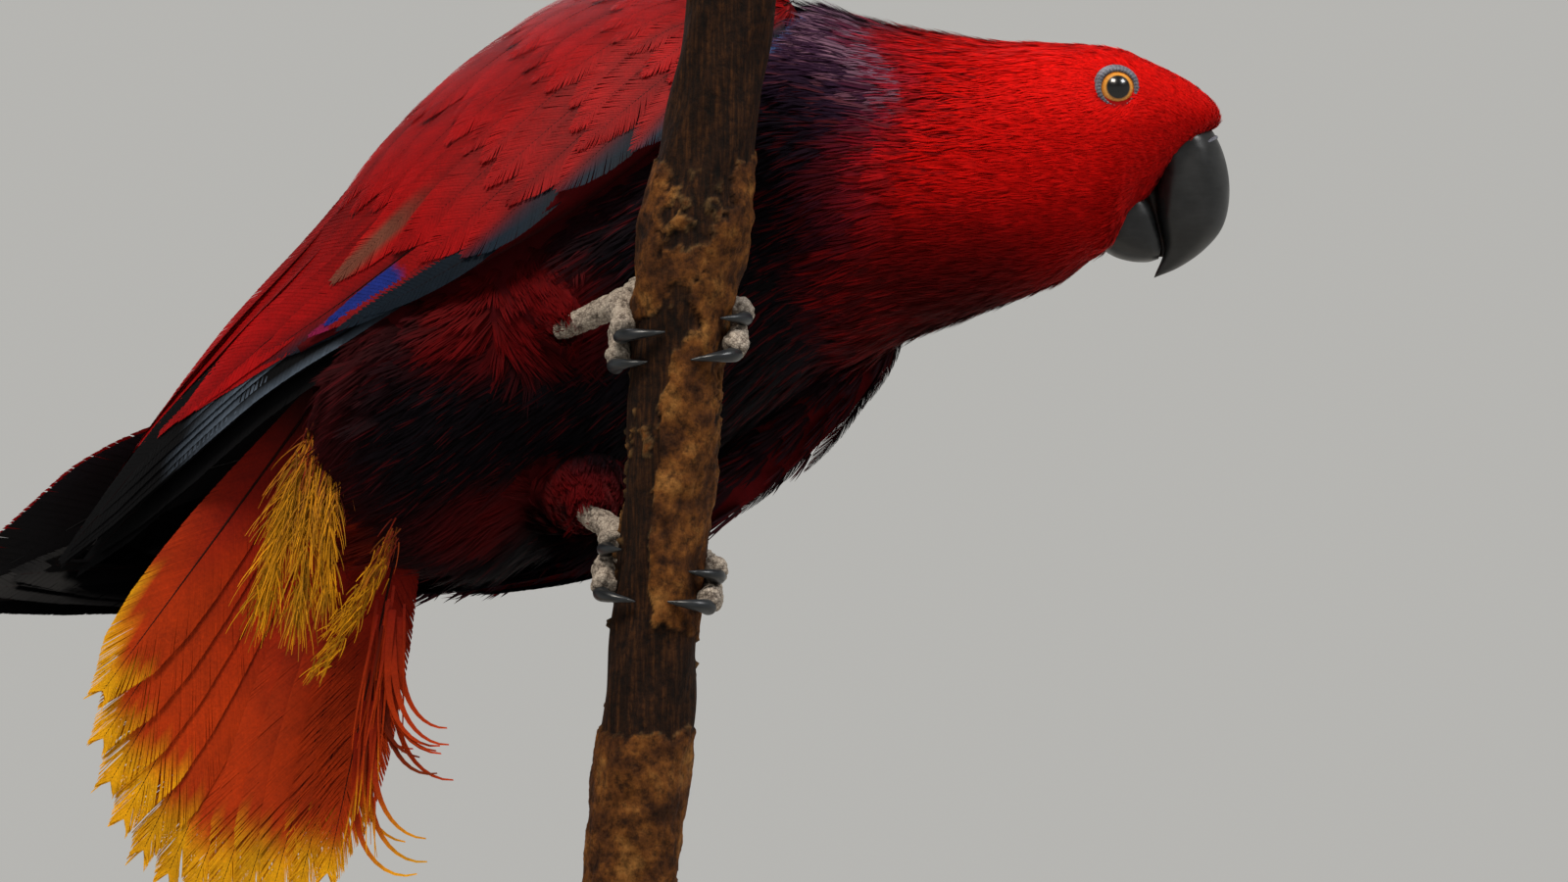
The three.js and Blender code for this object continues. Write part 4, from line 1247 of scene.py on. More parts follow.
@dataclass
class Flesh:
    """The one skin over head, neck, trunk and thighs, and the body feathers that grow from it."""

    body: Body = field(default_factory=Body)
    voxel: float = 1.2
    density: float = 0.85e6
    quick_share: float = 0.6

    def inset(self, x: Array) -> Array:
        """How deep the coat is: thin on the face, deeper down the neck and trunk."""
        places = [-80, 20, 60, 95, 112, 124, 132, 138, 145]
        return np.interp(x, places, [3.0, 3.2, 2.6, 1.7, 1.1, 1.0, 0.4, 0, -0.3])

    def build(self, wings: list[Piece]) -> list[Piece]:
        """Makes the skin and its coat.

        Args:
            wings: the wings' cores, which keep the coat off the skin beneath them.

        Returns:
            The skin and the coat pieces.
        """
        parts = [self.body.loft(self.inset).to_object("flesh_body")]
        parts += [thigh_tube(leg, 2.0).to_object("flesh_thigh") for leg in (RIGHT_LEG, LEFT_LEG)]
        skin = fused([outward(p) for p in parts], "skin", self.voxel, 1)
        self.mark(skin.data, wings)
        solids = ("head", "neck", "torso", "thigh_right", "thigh_left")
        return [dress(skin, PLUMAGE, solids), *self.feathers(skin)]

    def mark(self, mesh: Mesh, wings: list[Piece]) -> None:
        """Writes lie, reach, breadth, tints, density and the bake map on the skin, whose own tint is halved
        as painted shade under the coat.

        Args:
            mesh: the skin's mesh, which is pushed in beside the wings.
            wings: the wings' cores.
        """
        points, normals = points_of(mesh), normals_of(mesh)
        keep, beside = self.clear_of(points, wings)
        points = points - normals * (2.6 * beside)[:, None]
        move_points(mesh, points)
        share, angle, along = self.body.place(points)
        x = points[:, 0]
        lie = -along
        places = [-90, 20, 60, 85, 100, 120, 135, 150]
        reach = np.interp(x, [-90, -40, *places[1:]], [18, 17, 16, 13.5, 10.5, 8, 5.4, 3.6, 2.4])
        breadth = np.interp(x, places, [5.6, 5.0, 4.4, 3.6, 2.9, 2.2, 1.7, 1.4])
        for leg in (RIGHT_LEG, LEFT_LEG):
            start, heel = np.array(leg.thigh, float), np.array(leg.heel, float)
            line = heel - start
            k = np.clip(((points - start) @ line) / (line @ line), 0, 1)
            away = np.linalg.norm(points - (start + k[:, None] * line), axis=1)
            near = (smooth(18, 14, away) * smooth(0.2, 0.5, k))[:, None]
            lie = lie * (1 - near) + unit(line) * near
            reach = reach * (1 - near[:, 0]) + 9.5 * near[:, 0]
            breadth = breadth * (1 - near[:, 0]) + 3.2 * near[:, 0]
        dense = np.interp(x, places, [0.3, 0.36, 0.5, 0.75, 1.1, 1.9, 2.9, 3.4])
        for side in Side:
            eye = EyeBall(side)
            offset = points - eye.centre
            flat = offset - (offset @ eye.gaze)[:, None] * eye.gaze
            away = np.linalg.norm(flat, axis=1)
            ahead = offset @ eye.gaze
            close = (away < 26) & (ahead > -4)
            push = np.where(close, np.exp(-((away / 9) ** 2)), 0)[:, None]
            lie = lie + 1.3 * push * unit(flat)
            dense = np.where((away < 5.1) & (ahead > -2), 0, dense)
            dense = np.where(close & (away < 12), dense * 1.35, dense)
            reach = np.where(close & (away < 12), np.minimum(reach, 2.0 + 0.22 * away), reach)
        dense = dense * keep
        reach = reach * (1 - 0.5 * beside)
        base, other, chance = MARKINGS.paint(points, share, angle)
        uv = np.c_[0.02 + 0.94 * (angle / (2 * np.pi) + 0.5), 0.02 + 0.94 * share, np.zeros(len(base))]
        # painted shade: the skin under the coat gets half of the markings' colour
        store(
            mesh, lie=unit(lie), reach=reach * MM, breadth=breadth * MM, dense=dense, tint=opaque(base * 0.5),
            streak_tint=opaque(other), streak=chance, draw=np.ones(len(base)),
            vane=np.tile([0.6, 0, 0], (len(base), 1)), root_uv=uv,
        )
        bake_map(mesh, uv[:, :2])
        self.base = base

    def clear_of(self, points: Array, wings: list[Piece]) -> tuple[Array, Array]:
        """Where feathers may grow, and how near a wing's rim each point is.

        Args:
            points: the skin's points in millimetres.
            wings: the wings' cores.

        Returns:
            1 where feathers may grow and 0 under a wing or the bill, then 1 at a wing down to 0 at 14 mm.
        """
        keep, beside = np.ones(len(points)), np.zeros(len(points))
        covers = [(wing, 14.0, 3.0) for wing in wings]
        covers += [(bpy.data.objects[name], 1.2, 0.4) for name in ("bill_upper", "bill_lower")]
        graph = bpy.context.evaluated_depsgraph_get()
        for cover, limit, bare in covers:
            tree = BVHTree.FromObject(cover, graph)
            own = points_of(cover.data)
            low, high = own.min(axis=0), own.max(axis=0)
            inside = np.all((points > low - limit) & (points < high + limit), axis=1)
            for i in np.nonzero(inside)[0]:
                spot, normal, _, distance = tree.find_nearest(Vector(points[i] * MM))
                if spot is None:
                    continue
                behind = (Vector(points[i] * MM) - spot).dot(normal) < 0
                if behind or distance < bare * MM:
                    keep[i] = 0
                if limit > 2:
                    close = 1.0 if behind else float(smooth(limit, bare, np.array(distance / MM)))
                    beside[i] = max(beside[i], close)
        return keep, beside

    def feathers(self, skin: Piece) -> list[Piece]:
        """The coat in regions, so that no piece is too heavy.

        Args:
            skin: the marked skin.

        Returns:
            The coat pieces.
        """
        mesh = skin.data
        points = points_of(mesh)
        dense = np.empty(len(points), np.float32)
        mesh.attributes["dense"].data.foreach_get("value", dense)
        coat = Coat(Tufts().build("small_feathers"))
        down = Coat(Tufts(blades=9, half=0.07, fine=True, seed=12).build("face_feathers"), lift=7)
        x, y = points[:, 0], points[:, 1]
        edges = (-200, -30, 40, 78, 100, 118, 200)
        names = ("vent", "belly", "breast", "neck", "cheek", "face")
        made = []
        # the coat is laid with the full markings' colour; only the skin beneath it is darkened
        store(mesh, tint=opaque(self.base))
        density = self.density * 1.0
        for low, high, label in zip(edges, edges[1:], names):
            middle = 30 if high <= 40 else (14 if high <= 100 else 1)
            for side, picked in (("near", y < middle), ("far", y >= middle)):
                region = (x >= low) & (x < high) & picked
                store(mesh, dense=np.where(region, dense, 0))
                kind = down if low >= 100 else coat
                piece = kind.lay(skin, f"feathers_{label}_{side}", density)
                if len(piece.data.polygons):
                    made.append(dress(piece, PLUMAGE))
        # the skin goes back to half of the markings' colour, painted shade under the coat
        store(mesh, dense=dense, tint=opaque(self.base * 0.5))
        return made


# Long feathers


def ribbon(path: Array, half: Array, tone: Array, spot: Array) -> Surface:
    """A flat strand along a path.

    Args:
        path: points along its middle.
        half: from the middle to one edge, at each point.
        tone: its colour at each point.
        spot: its place in the bake map at each point.

    Returns:
        The strand as a row of quads.
    """
    edges = np.stack([path - half, path + half], axis=1)
    index = np.arange(2 * len(path)).reshape(-1, 2)
    quads = np.stack([index[:-1, 0], index[1:, 0], index[1:, 1], index[:-1, 1]], axis=-1)
    return Surface(edges.reshape(-1, 3), quads, np.repeat(tone, 2, axis=0), np.repeat(spot, 2, axis=0))


@dataclass(frozen=True)
class Feather:
    """A feather made of barbs along a shaft.

    Attributes:
        spacing: distance between barbs in millimetres.
        sweep: how far a barb runs towards the tip, against its own length.
        loose: how far barbs stray from their place, 0 for a tight vane.
        fray: how much looser the last fifth is.
        thin: how narrow a barb is against its spacing; below 1 the vane opens.
        shaft: half width of the shaft at its root, in millimetres.
        start: share of the length where barbs begin.
    """

    spacing: float = 1.0
    sweep: float = 1.0
    loose: float = 0.1
    fray: float = 0.25
    thin: float = 1.3
    shaft: float = 0.5
    start: float = 0.03
    steps: int = 48

    def build(self, spine: Spine, paint: Paint, shaft_code: str, cell: Triple, seed: int) -> Surface:
        """Makes the feather's mesh.

        Args:
            spine: from shares of the length to centres, side vectors, normals and half widths.
            paint: from shares and places across to colours.
            shaft_code: the shaft's colour.
            cell: corner and size of the feather's cell in the bake map.
            seed: the draw of its small irregularities.

        Returns:
            The barbs and the shaft as one surface of quads.
        """
        draw = np.random.default_rng(seed)
        k = np.linspace(0, 1, self.steps)
        centre, side, normal, half = spine(k)
        length = float(np.sum(np.linalg.norm(np.diff(centre, axis=0), axis=1)))
        count = max(10, int(length * (1 - self.start) / self.spacing))
        parts = []
        for way in (-1.0, 1.0):
            base = self.start + (0.985 - self.start) * (np.arange(count) + 0.5) / count
            stray = self.loose + self.fray * smooth(0.72, 1.0, base)
            wide = np.interp(base, k, half)
            dk = self.sweep * wide / length * (1 + stray * draw.normal(0, 0.4, count))
            end = np.minimum(base + dk, 1.0 + 0.03 * stray)
            reach = np.interp(end, k, half) * (1 - stray * draw.uniform(0, 0.5, count))
            t = np.array([0.0, 0.3, 0.66, 1.0])
            path = base[:, None] + (end - base)[:, None] * t**1.15
            out = reach[:, None] * t * way
            gap = (1 - self.start) / count
            last = 1.0 if self.loose < 0.08 and self.fray < 0.3 else 0.5
            slim = 1 - 0.3 * np.minimum(1, stray * 2)
            width = gap * self.thin * np.array([1.0, 1.05, 1.05, last]) * slim[:, None]
            rise = stray * draw.normal(0, 0.5, count)
            lift = 0.05 * (np.arange(count) % 2)[:, None] + rise[:, None] * t**2
            sway = (stray * draw.normal(0, 0.02, count))[:, None] * t**2
            edges = []
            for edge in (-0.5, 0.5):
                at = np.maximum(path + sway + edge * width, 0)
                flat = np.minimum(at, 1)
                place = np.stack([np.interp(flat, k, centre[:, n]) for n in range(3)], axis=-1)
                place = place + (at - flat)[..., None] * (centre[-1] - centre[-2]) * (self.steps - 1)
                across = np.stack([np.interp(flat, k, side[:, n]) for n in range(3)], axis=-1)
                up = np.stack([np.interp(flat, k, normal[:, n]) for n in range(3)], axis=-1)
                bow = -0.05 * np.abs(out) * t + lift
                edges.append((place + across * out[..., None] + up * bow[..., None], flat))
            points = np.stack([edges[0][0], edges[1][0]], axis=2)
            at = np.stack([edges[0][1], edges[1][1]], axis=2)
            w = np.repeat((out / max(half.max(), 1e-6))[:, :, None], 2, axis=2)
            index = np.arange(count * 8).reshape(count, 4, 2)
            quads = np.stack([index[:, :-1, 0], index[:, 1:, 0], index[:, 1:, 1], index[:, :-1, 1]], axis=-1)
            if way > 0:
                quads = quads[..., ::-1]
            flat_k, flat_w = at.reshape(-1), w.reshape(-1)
            vary = np.repeat(draw.normal(1, 0.04 + 0.12 * min(1, self.loose), count), 8)[:, None]
            uv = np.c_[cell[0] + cell[2] * (0.5 + 0.48 * flat_w), cell[1] + cell[2] * 0.96 * flat_k]
            colours = paint(flat_k, flat_w) * vary
            parts.append(Surface(points.reshape(-1, 3), quads.reshape(-1, 4), colours, uv))
        parts.append(self.rachis(centre, side, normal, shaft_code, cell))
        return Surface.joined(parts)

    def rachis(self, centre: Array, side: Array, normal: Array, code: str, cell: Triple) -> Surface:
        """The shaft: a thin four-sided rod that tapers to the tip.

        Args:
            centre: its line.
            side: the feather's side vectors.
            normal: the feather's normals.
            code: the shaft's colour.
            cell: corner and size of the feather's cell in the bake map.

        Returns:
            The shaft's surface.
        """
        keep = np.linspace(0, len(centre) - 2, 12).astype(int)
        width = self.shaft * (1 - 0.85 * keep / (len(centre) - 1))
        rings = np.stack(
            [
                centre[keep] + (side[keep] * c + normal[keep] * s) * width[:, None]
                for c, s in ((1, 0), (0, 0.9), (-1, 0), (0, -0.9))
            ],
            axis=1,
        )
        made = Surface.grid(rings, capped=False)
        count = len(made.points)
        share = np.repeat(keep / (len(centre) - 1), 4)
        uv = np.c_[np.full(count, cell[0] + cell[2] * 0.5), cell[1] + cell[2] * 0.96 * share]
        return Surface(made.points, made.faces, np.tile(rgb(code), (count, 1)), uv)


@dataclass(frozen=True)
class WingSet:
    """How one wing is set against the table: slide along the body, droop, and the rear part's swing."""

    side: Side
    out: float = 0
    drop: float = 0
    slide: float = 0
    swing: tuple[float, float, float, float, float] = (0, 0, 0, 0, 0)


@dataclass(frozen=True)
class Tier:
    """A row of wing feathers, from the one nearest the leading edge to the one nearest the back."""

    name: str
    count: int
    half: float
    roll: float
    root: tuple[Triple, Triple]
    tip: tuple[Triple, Triple]
    shape: tuple[float, ...]
    spacing: float = 1.0
    loose: float = 0.12


LONG = (0.25, 0.62, 0.85, 0.97, 1.0, 0.97, 0.86, 0.55, 0.08)
SHORT = (0.35, 0.75, 0.95, 1.0, 0.98, 0.88, 0.62, 0.1)


@dataclass
class Wing:
    """A folded wing: a padded core with tiers of feathers and small coverts over its front."""

    set: WingSet
    arch: float = 0.4
    density: float = 0.6e6
    rows: Table = (
        (69, 40, 2, 42, 10, 39, 20, 31, 30), (50, 49, -11, 54, 10, 50, 33, 33, 47),
        (25, 52, -21, 60.5, 10, 53, 44, 28, 60), (-9, 53.5, -24, 61, 9.5, 53.5, 45, 25, 61.5),
        (-36, 51, -20, 58, 9, 50, 42.5, 22, 57), (-66, 45.5, -7, 47.5, 15, 41.5, 37.5, 16, 51),
        (-96, 37, 8.5, 38, 21, 32.5, 36.5, 9, 47.5), (-125, 26, 17, 26.5, 26, 21.5, 37, 5, 44.5),
        (-150, 14.5, 23.5, 15, 29, 12.5, 33.5, 3, 38.5), (-178, 3, 31, 3.2, 31.5, 3, 32, 2, 33),
    )
    tiers: tuple[Tier, ...] = (
        Tier("inner_flights", 8, 10.5, 4, ((-24, 0.12, -8), (-24, 0.6, -8)),
             ((-172, 0.04, -8), (-120, 0.3, -19)), LONG, 1.1, 0.03),
        Tier("primaries", 10, 7.8, -5, ((-18, 0.1, -3.2), (-18, 0.42, -3.0)),
             ((-175, 0.1, -2.4), (-134, 0.62, -1.0)), LONG, 0.9, 0.02),
        Tier("secondaries", 11, 9.2, -5, ((4, 0.2, -2.6), (6, 0.94, -2.6)),
             ((-108, 0.12, -1.2), (-163, 0.9, 0.0)), LONG, 0.8, 0.03),
        Tier("primary_coverts", 6, 3.4, -5, ((-18, 0.04, -2.4), (-18, 0.14, -2.4)),
             ((-76, 0.0, -0.3), (-78, 0.085, 0.0)), SHORT, 0.7, 0.05),
        Tier("greater_coverts", 13, 7.4, -5, ((12, 0.12, -2.1), (16, 1.0, -2.1)),
             ((-46, 0.03, -0.1), (-62, 0.94, 0.0)), SHORT, 0.6, 0.05),
        Tier("median_coverts", 14, 7.0, -5, ((34, 0.12, -1.5), (38, 1.0, -1.5)),
             ((-18, 0.03, 0.5), (-30, 0.95, 0.6)), SHORT, 0.55, 0.07),
        Tier("upper_coverts", 15, 6.4, -5, ((54, 0.1, -0.9), (56, 1.0, -0.9)),
             ((6, 0.03, 1.0), (-2, 0.95, 1.1)), SHORT, 0.5, 0.1),
        Tier("shoulder_coverts", 14, 5.4, -5, ((68, 0.08, -0.5), (70, 1.0, -0.5)),
             ((30, 0.04, 1.4), (26, 0.95, 1.6)), SHORT, 0.5, 0.14),
    )

    def point(self, along: Any, share: Any, lift: Any) -> Array:
        """World points on the wing's outer face, as the solids place them.

        Args:
            along: millimetres along the body.
            share: place across the wing, 0 at its leading edge.
            lift: millimetres off the face.

        Returns:
            The points.
        """
        along, share, lift = np.broadcast_arrays(
            np.asarray(along, float), np.asarray(share, float), np.asarray(lift, float)
        )
        row = blend_rows(self.rows, along).reshape(*along.shape, 4, 2)

        def across_at(place: Array) -> Array:
            """Places on the curve across the wing.

            Args:
                place: shares across it.

            Returns:
                Millimetres to the right and to the back.
            """
            lines = np.array([0, 1 / 3, 2 / 3, 1])
            slope = np.stack(
                [
                    (row[..., 1, :] - row[..., 0, :]) * 3, (row[..., 2, :] - row[..., 0, :]) * 1.5,
                    (row[..., 3, :] - row[..., 1, :]) * 1.5, (row[..., 3, :] - row[..., 2, :]) * 3,
                ],
                axis=-2,
            )
            at = np.clip(place, 0, 1)
            i = np.clip(np.searchsorted(lines, at, side="right") - 1, 0, 2)[..., None, None]
            t = (at * 3)[..., None] - i[..., 0]
            p, q = (np.take_along_axis(row, i + step, -2)[..., 0, :] for step in (0, 1))
            m, n = (np.take_along_axis(slope, i + step, -2)[..., 0, :] / 3 for step in (0, 1))
            t2, t3 = t * t, t**3
            return p * (2 * t3 - 3 * t2 + 1) + q * (3 * t2 - 2 * t3) + m * (t3 - 2 * t2 + t) + n * (t3 - t2)

        here = across_at(share)
        over = unit(across_at(share + 1e-3) - across_at(share - 1e-3))
        fade = np.clip((along + 190) / 120, 0, 1)
        rear = smooth(40, 125, -along)
        slide, front_in, back_in, front_up, back_up = (n * rear for n in self.set.swing)
        inward = front_in + (back_in - front_in) * share
        upward = front_up + (back_up - front_up) * share
        out = here[..., 0] + over[..., 1] * lift + self.set.out * fade - inward
        back = here[..., 1] - over[..., 0] * lift - self.set.drop * fade + upward
        return TRUNK.point(along + self.set.slide - slide, self.set.side.wing_sign * out, back)

    def spine(self, root: Array, tip: Array, half: float, roll: float, shape: tuple[float, ...]) -> Spine:
        """The line of a feather that lies on the wing.

        Args:
            root: along, share and lift where it starts.
            tip: the same where it ends.
            half: its half width.
            roll: its turn about its own line, in degrees.
            shape: its width at even steps, against the half width.

        Returns:
            The line as a function of shares of the length.
        """

        def line(k: Array) -> tuple[Array, Array, Array, Array]:
            """The feather's line.

            Args:
                k: shares of its length.

            Returns:
                Centres, side vectors, normals and half widths.
            """
            here = root + (tip - root) * k[:, None]
            centre = self.point(here[:, 0], here[:, 1], here[:, 2] + self.arch * np.sin(np.pi * k))
            ahead = unit(np.gradient(centre, axis=0))
            share = np.clip(here[:, 1], 0.03, 0.97)
            beyond, before = (self.point(here[:, 0], share + step, here[:, 2]) for step in (0.02, -0.02))
            over = beyond - before
            side = unit(over - dots(over, ahead) * ahead)
            normal = np.cross(side, ahead)
            turn = self.set.side.wing_sign * math.radians(roll)
            rolled = side * math.cos(turn) + np.cross(ahead, side) * math.sin(turn)
            face = normal * math.cos(turn) + np.cross(ahead, normal) * math.sin(turn)
            wide = half * np.interp(k, np.linspace(0, 1, len(shape)), shape)
            return centre, rolled, face * self.set.side.wing_sign, wide

        return line

    def paint(self, tier: Tier, place: float, seed: int) -> Paint:
        """The colours of one feather of a tier, with painted shade at its root and edges.

        Args:
            tier: the tier.
            place: 0 for the feather nearest the leading edge, 1 for the one nearest the back.
            seed: the draw of its own shade.

        Returns:
            A function from shares of the length and places across to colours.
        """
        draw = np.random.default_rng(seed)
        shade = 1 + draw.normal(0, 0.07)
        red, dark = rgb("930608"), rgb("3c0306")
        black, edge, blue, teal = rgb("050507"), rgb("4d5866"), rgb("172671"), rgb("142230")
        pale = tier.name == "greater_coverts" and self.set.side is Side.RIGHT and 0.2 < place < 0.3
        mark = draw.uniform(0, 1)

        def colours(k: Array, w: Array) -> Array:
            """The feather's colours.

            Args:
                k: shares of its length.
                w: places across it, from -1 to 1.

            Returns:
                A colour for each.
            """
            across = np.full(len(k), place)
            if tier.name == "inner_flights":
                return np.tile(black * shade, (len(k), 1))
            if tier.name == "primaries":
                return mix(black, edge, smooth(0.8, 0.98, -w) * smooth(0.1, 0.3, k)) * shade
            if tier.name == "primary_coverts":
                tipped = smooth(0.56, 0.62, k) * smooth(0.5, 0.8, across)
                return mix(mix(teal * 0.5, red * 0.8, smooth(0.2, 0.5, across)), blue, tipped) * shade
            if tier.name == "secondaries":
                inner = np.clip(smooth(0.0, 0.06, across) + smooth(-0.5, 0.2, w), 0, 1)
                base = mix(teal * 0.5, red, inner)
            else:
                base = mix(red, teal, smooth(0.07, 0.0, across) * smooth(0.3, -0.4, w))
            streak = smooth(0.4, 0.0, np.abs(w)) * smooth(0.1, 0.5, k) * (0.42 if mark > 0.6 else 0.2)
            base = mix(base, dark, streak)
            if pale:
                worn = smooth(0.5, 0.75, k) * smooth(0.55, 0.2, np.abs(w))
                base = mix(base, rgb("5f3428"), worn)
            # painted shade: darker at the root and along the edges, brighter towards the tip
            light = 0.55 + 0.55 * smooth(0.25, 1.0, k) - 0.22 * smooth(0.8, 1.0, np.abs(w))
            return base * shade * light[:, None]

        return colours

    def core(self) -> Piece:
        """The padded plate of flesh and down under the feathers.

        Returns:
            The core.
        """
        steps, sides = 60, 26
        k = np.linspace(0, 1, steps)
        along = 70 - 154 * k
        full = np.clip((1 - k) * 1.9, 0, 1)
        thick = (3.2 + 11.8 * full) * np.minimum(1, 0.45 + k * 7)
        narrow = np.where(k < 0.06, 0.2 - 3 * k, 0.02)
        j = np.linspace(0, 1, sides)
        across = narrow[:, None] + (1 - 2 * narrow)[:, None] * j
        top = self.point(along[:, None], across, np.full((steps, sides), -1.6))
        low_share = (narrow + 0.04)[:, None] + (0.92 - 2 * narrow)[:, None] * j[::-1][None]
        low = self.point(along[:, None], low_share, -(1.6 + thick)[:, None] * np.ones((steps, sides)))
        made = Surface.grid(np.concatenate([top, low], axis=1))
        return outward(made.to_object(f"wing_{self.set.side.value}_core"))

    def mark(self, mesh: Mesh) -> None:
        """Writes lie, reach, breadth, tints, density and the bake map's places on the core.

        Args:
            mesh: the core's mesh.
        """
        points = points_of(mesh)
        count = len(points)
        along, _, _ = TRUNK.place(points)
        steps, sides = 120, 60
        places = np.linspace(72, -90, steps)[:, None]
        top = self.point(places, np.linspace(0, 1, sides)[None], 0.0).reshape(-1, 3)
        near = nearest(points, top)
        across = np.tile(np.linspace(0, 1, sides), steps)[near]
        rim = smooth(0.2, 0.03, across)[:, None]
        base = rgb("8a0608") * (1 - 0.9 * rim) + rgb("0d141c") * 0.9 * rim
        # painted shade: the core's inner face, deep under the wing, is painted near-black
        inner = smooth(3, 6, np.linalg.norm(points - top[near], axis=1))
        base = mix(base, rgb("0a090d"), inner)
        ahead = TRUNK.point(1, 0, 0) - TRUNK.point(0, 0, 0)
        front = np.where(along > 40, 0.9, 0.0)
        hidden = 0.2 if self.set.side is Side.LEFT else 0.0
        store(
            mesh, lie=np.tile(-ahead, (count, 1)),
            reach=np.interp(along, [-80, 20, 50, 70], [14, 12, 9, 6.5]) * MM,
            breadth=np.interp(along, [-80, 20, 50, 70], [5.5, 5.0, 4.2, 3.4]) * MM,
            dense=np.where(inner > 0.5, hidden, front), tint=opaque(base),
            streak_tint=opaque(np.tile(rgb("4a060a"), (count, 1))), streak=0.25 * (1 - inner),
            draw=np.ones(count), vane=np.tile([0.6, 0, 0], (count, 1)),
            root_uv=np.c_[0.02 + 0.9 * across, 0.02 + 0.9 * (along + 90) / 165, np.zeros(count)],
        )

    def feathers_of(self, tier: Tier, i: int, cell: int) -> list[Surface]:
        """One feather of a tier, and the lower face that the flight feathers have.

        Args:
            tier: the tier.
            i: the feather's number in it, from the leading edge.
            cell: the feather's number in the wing, which sets its draws and its place in the bake map.

        Returns:
            One surface or two.
        """
        k = i / (tier.count - 1)
        draw = np.random.default_rng(1000 + cell)
        root = np.array(tier.root[0]) * (1 - k) + np.array(tier.root[1]) * k
        tip = np.array(tier.tip[0]) * (1 - k) + np.array(tier.tip[1]) * k
        root = root + np.array([draw.normal(0, 1.2), draw.normal(0, 0.006), 0])
        tip = tip + np.array([draw.normal(0, 2.0) + (9 if i == 0 else 0), draw.normal(0, 0.01), 0])
        half = tier.half
        tight = tier.shape is LONG
        if tight and self.set.side is Side.LEFT:
            tip[0] -= 14 * k
            half = tier.half * (1.25 + 0.5 * k)
        if tier.name == "greater_coverts" and i == 3:
            tip[0] -= 19
        fray, shaft = (0.03, 0.5) if tight else (0.16, 0.2)
        feather = Feather(spacing=tier.spacing, loose=tier.loose, fray=fray, shaft=shaft)
        spine = self.spine(root, tip, half, tier.roll, tier.shape)
        spot = ((cell % 10) / 10, (cell // 10) / 10, 0.098)
        made = [feather.build(spine, self.paint(tier, k, 70 + cell), "170507", spot, 300 + cell)]
        if tier.name in ("primaries", "secondaries"):
            below = np.array([0, 0, 1.0])
            under = self.spine(root - below, tip - below, half * 0.97, tier.roll, tier.shape)
            coarse = Feather(spacing=1.5, loose=0.03, fray=0.08, shaft=0.3)
            made.append(coarse.build(under, self.underside, "0a0a0c", spot, 600 + cell))
        return made

    def build(self, core: Piece) -> list[Piece]:
        """The core's cover, the small coverts and every tier, dressed.

        Args:
            core: the wing's core.

        Returns:
            The pieces.
        """
        name = self.set.side.value
        self.mark(core.data)
        coat = Coat(Tufts(blades=9, fan=0.3, half=0.065, seed=5).build(f"lesser_coverts_{name}"), lift=8)
        made = [
            dress(coat.lay(core, f"wing_{name}_lesser", self.density), PLUMAGE),
            dress(core, PLUMAGE, (f"wing_{name}",)),
        ]
        first = 0
        for tier in self.tiers:
            pieces = [p for i in range(tier.count) for p in self.feathers_of(tier, i, first + i)]
            first += tier.count
            piece = Surface.joined(pieces).to_object(f"wing_{name}_{tier.name}")
            made.append(dress(piece, VANES))
        return made

    @staticmethod
    def underside(_: Array, w: Array) -> Array:
        """Sooty black of a flight feather's lower face, a touch browner along its edges."""
        return mix(rgb("060507"), rgb("0f0c11"), smooth(0.6, 1.0, np.abs(w)))


def nearest(points: Array, targets: Array) -> Array:
    """For each point, the number of the nearest target.

    Args:
        points: the points.
        targets: what is looked for.

    Returns:
        One number for each point.
    """
    tree = KDTree(len(targets))
    for i, target in enumerate(targets):
        tree.insert(target, i)
    tree.balance()
    return np.array([tree.find(p)[1] for p in points], int)


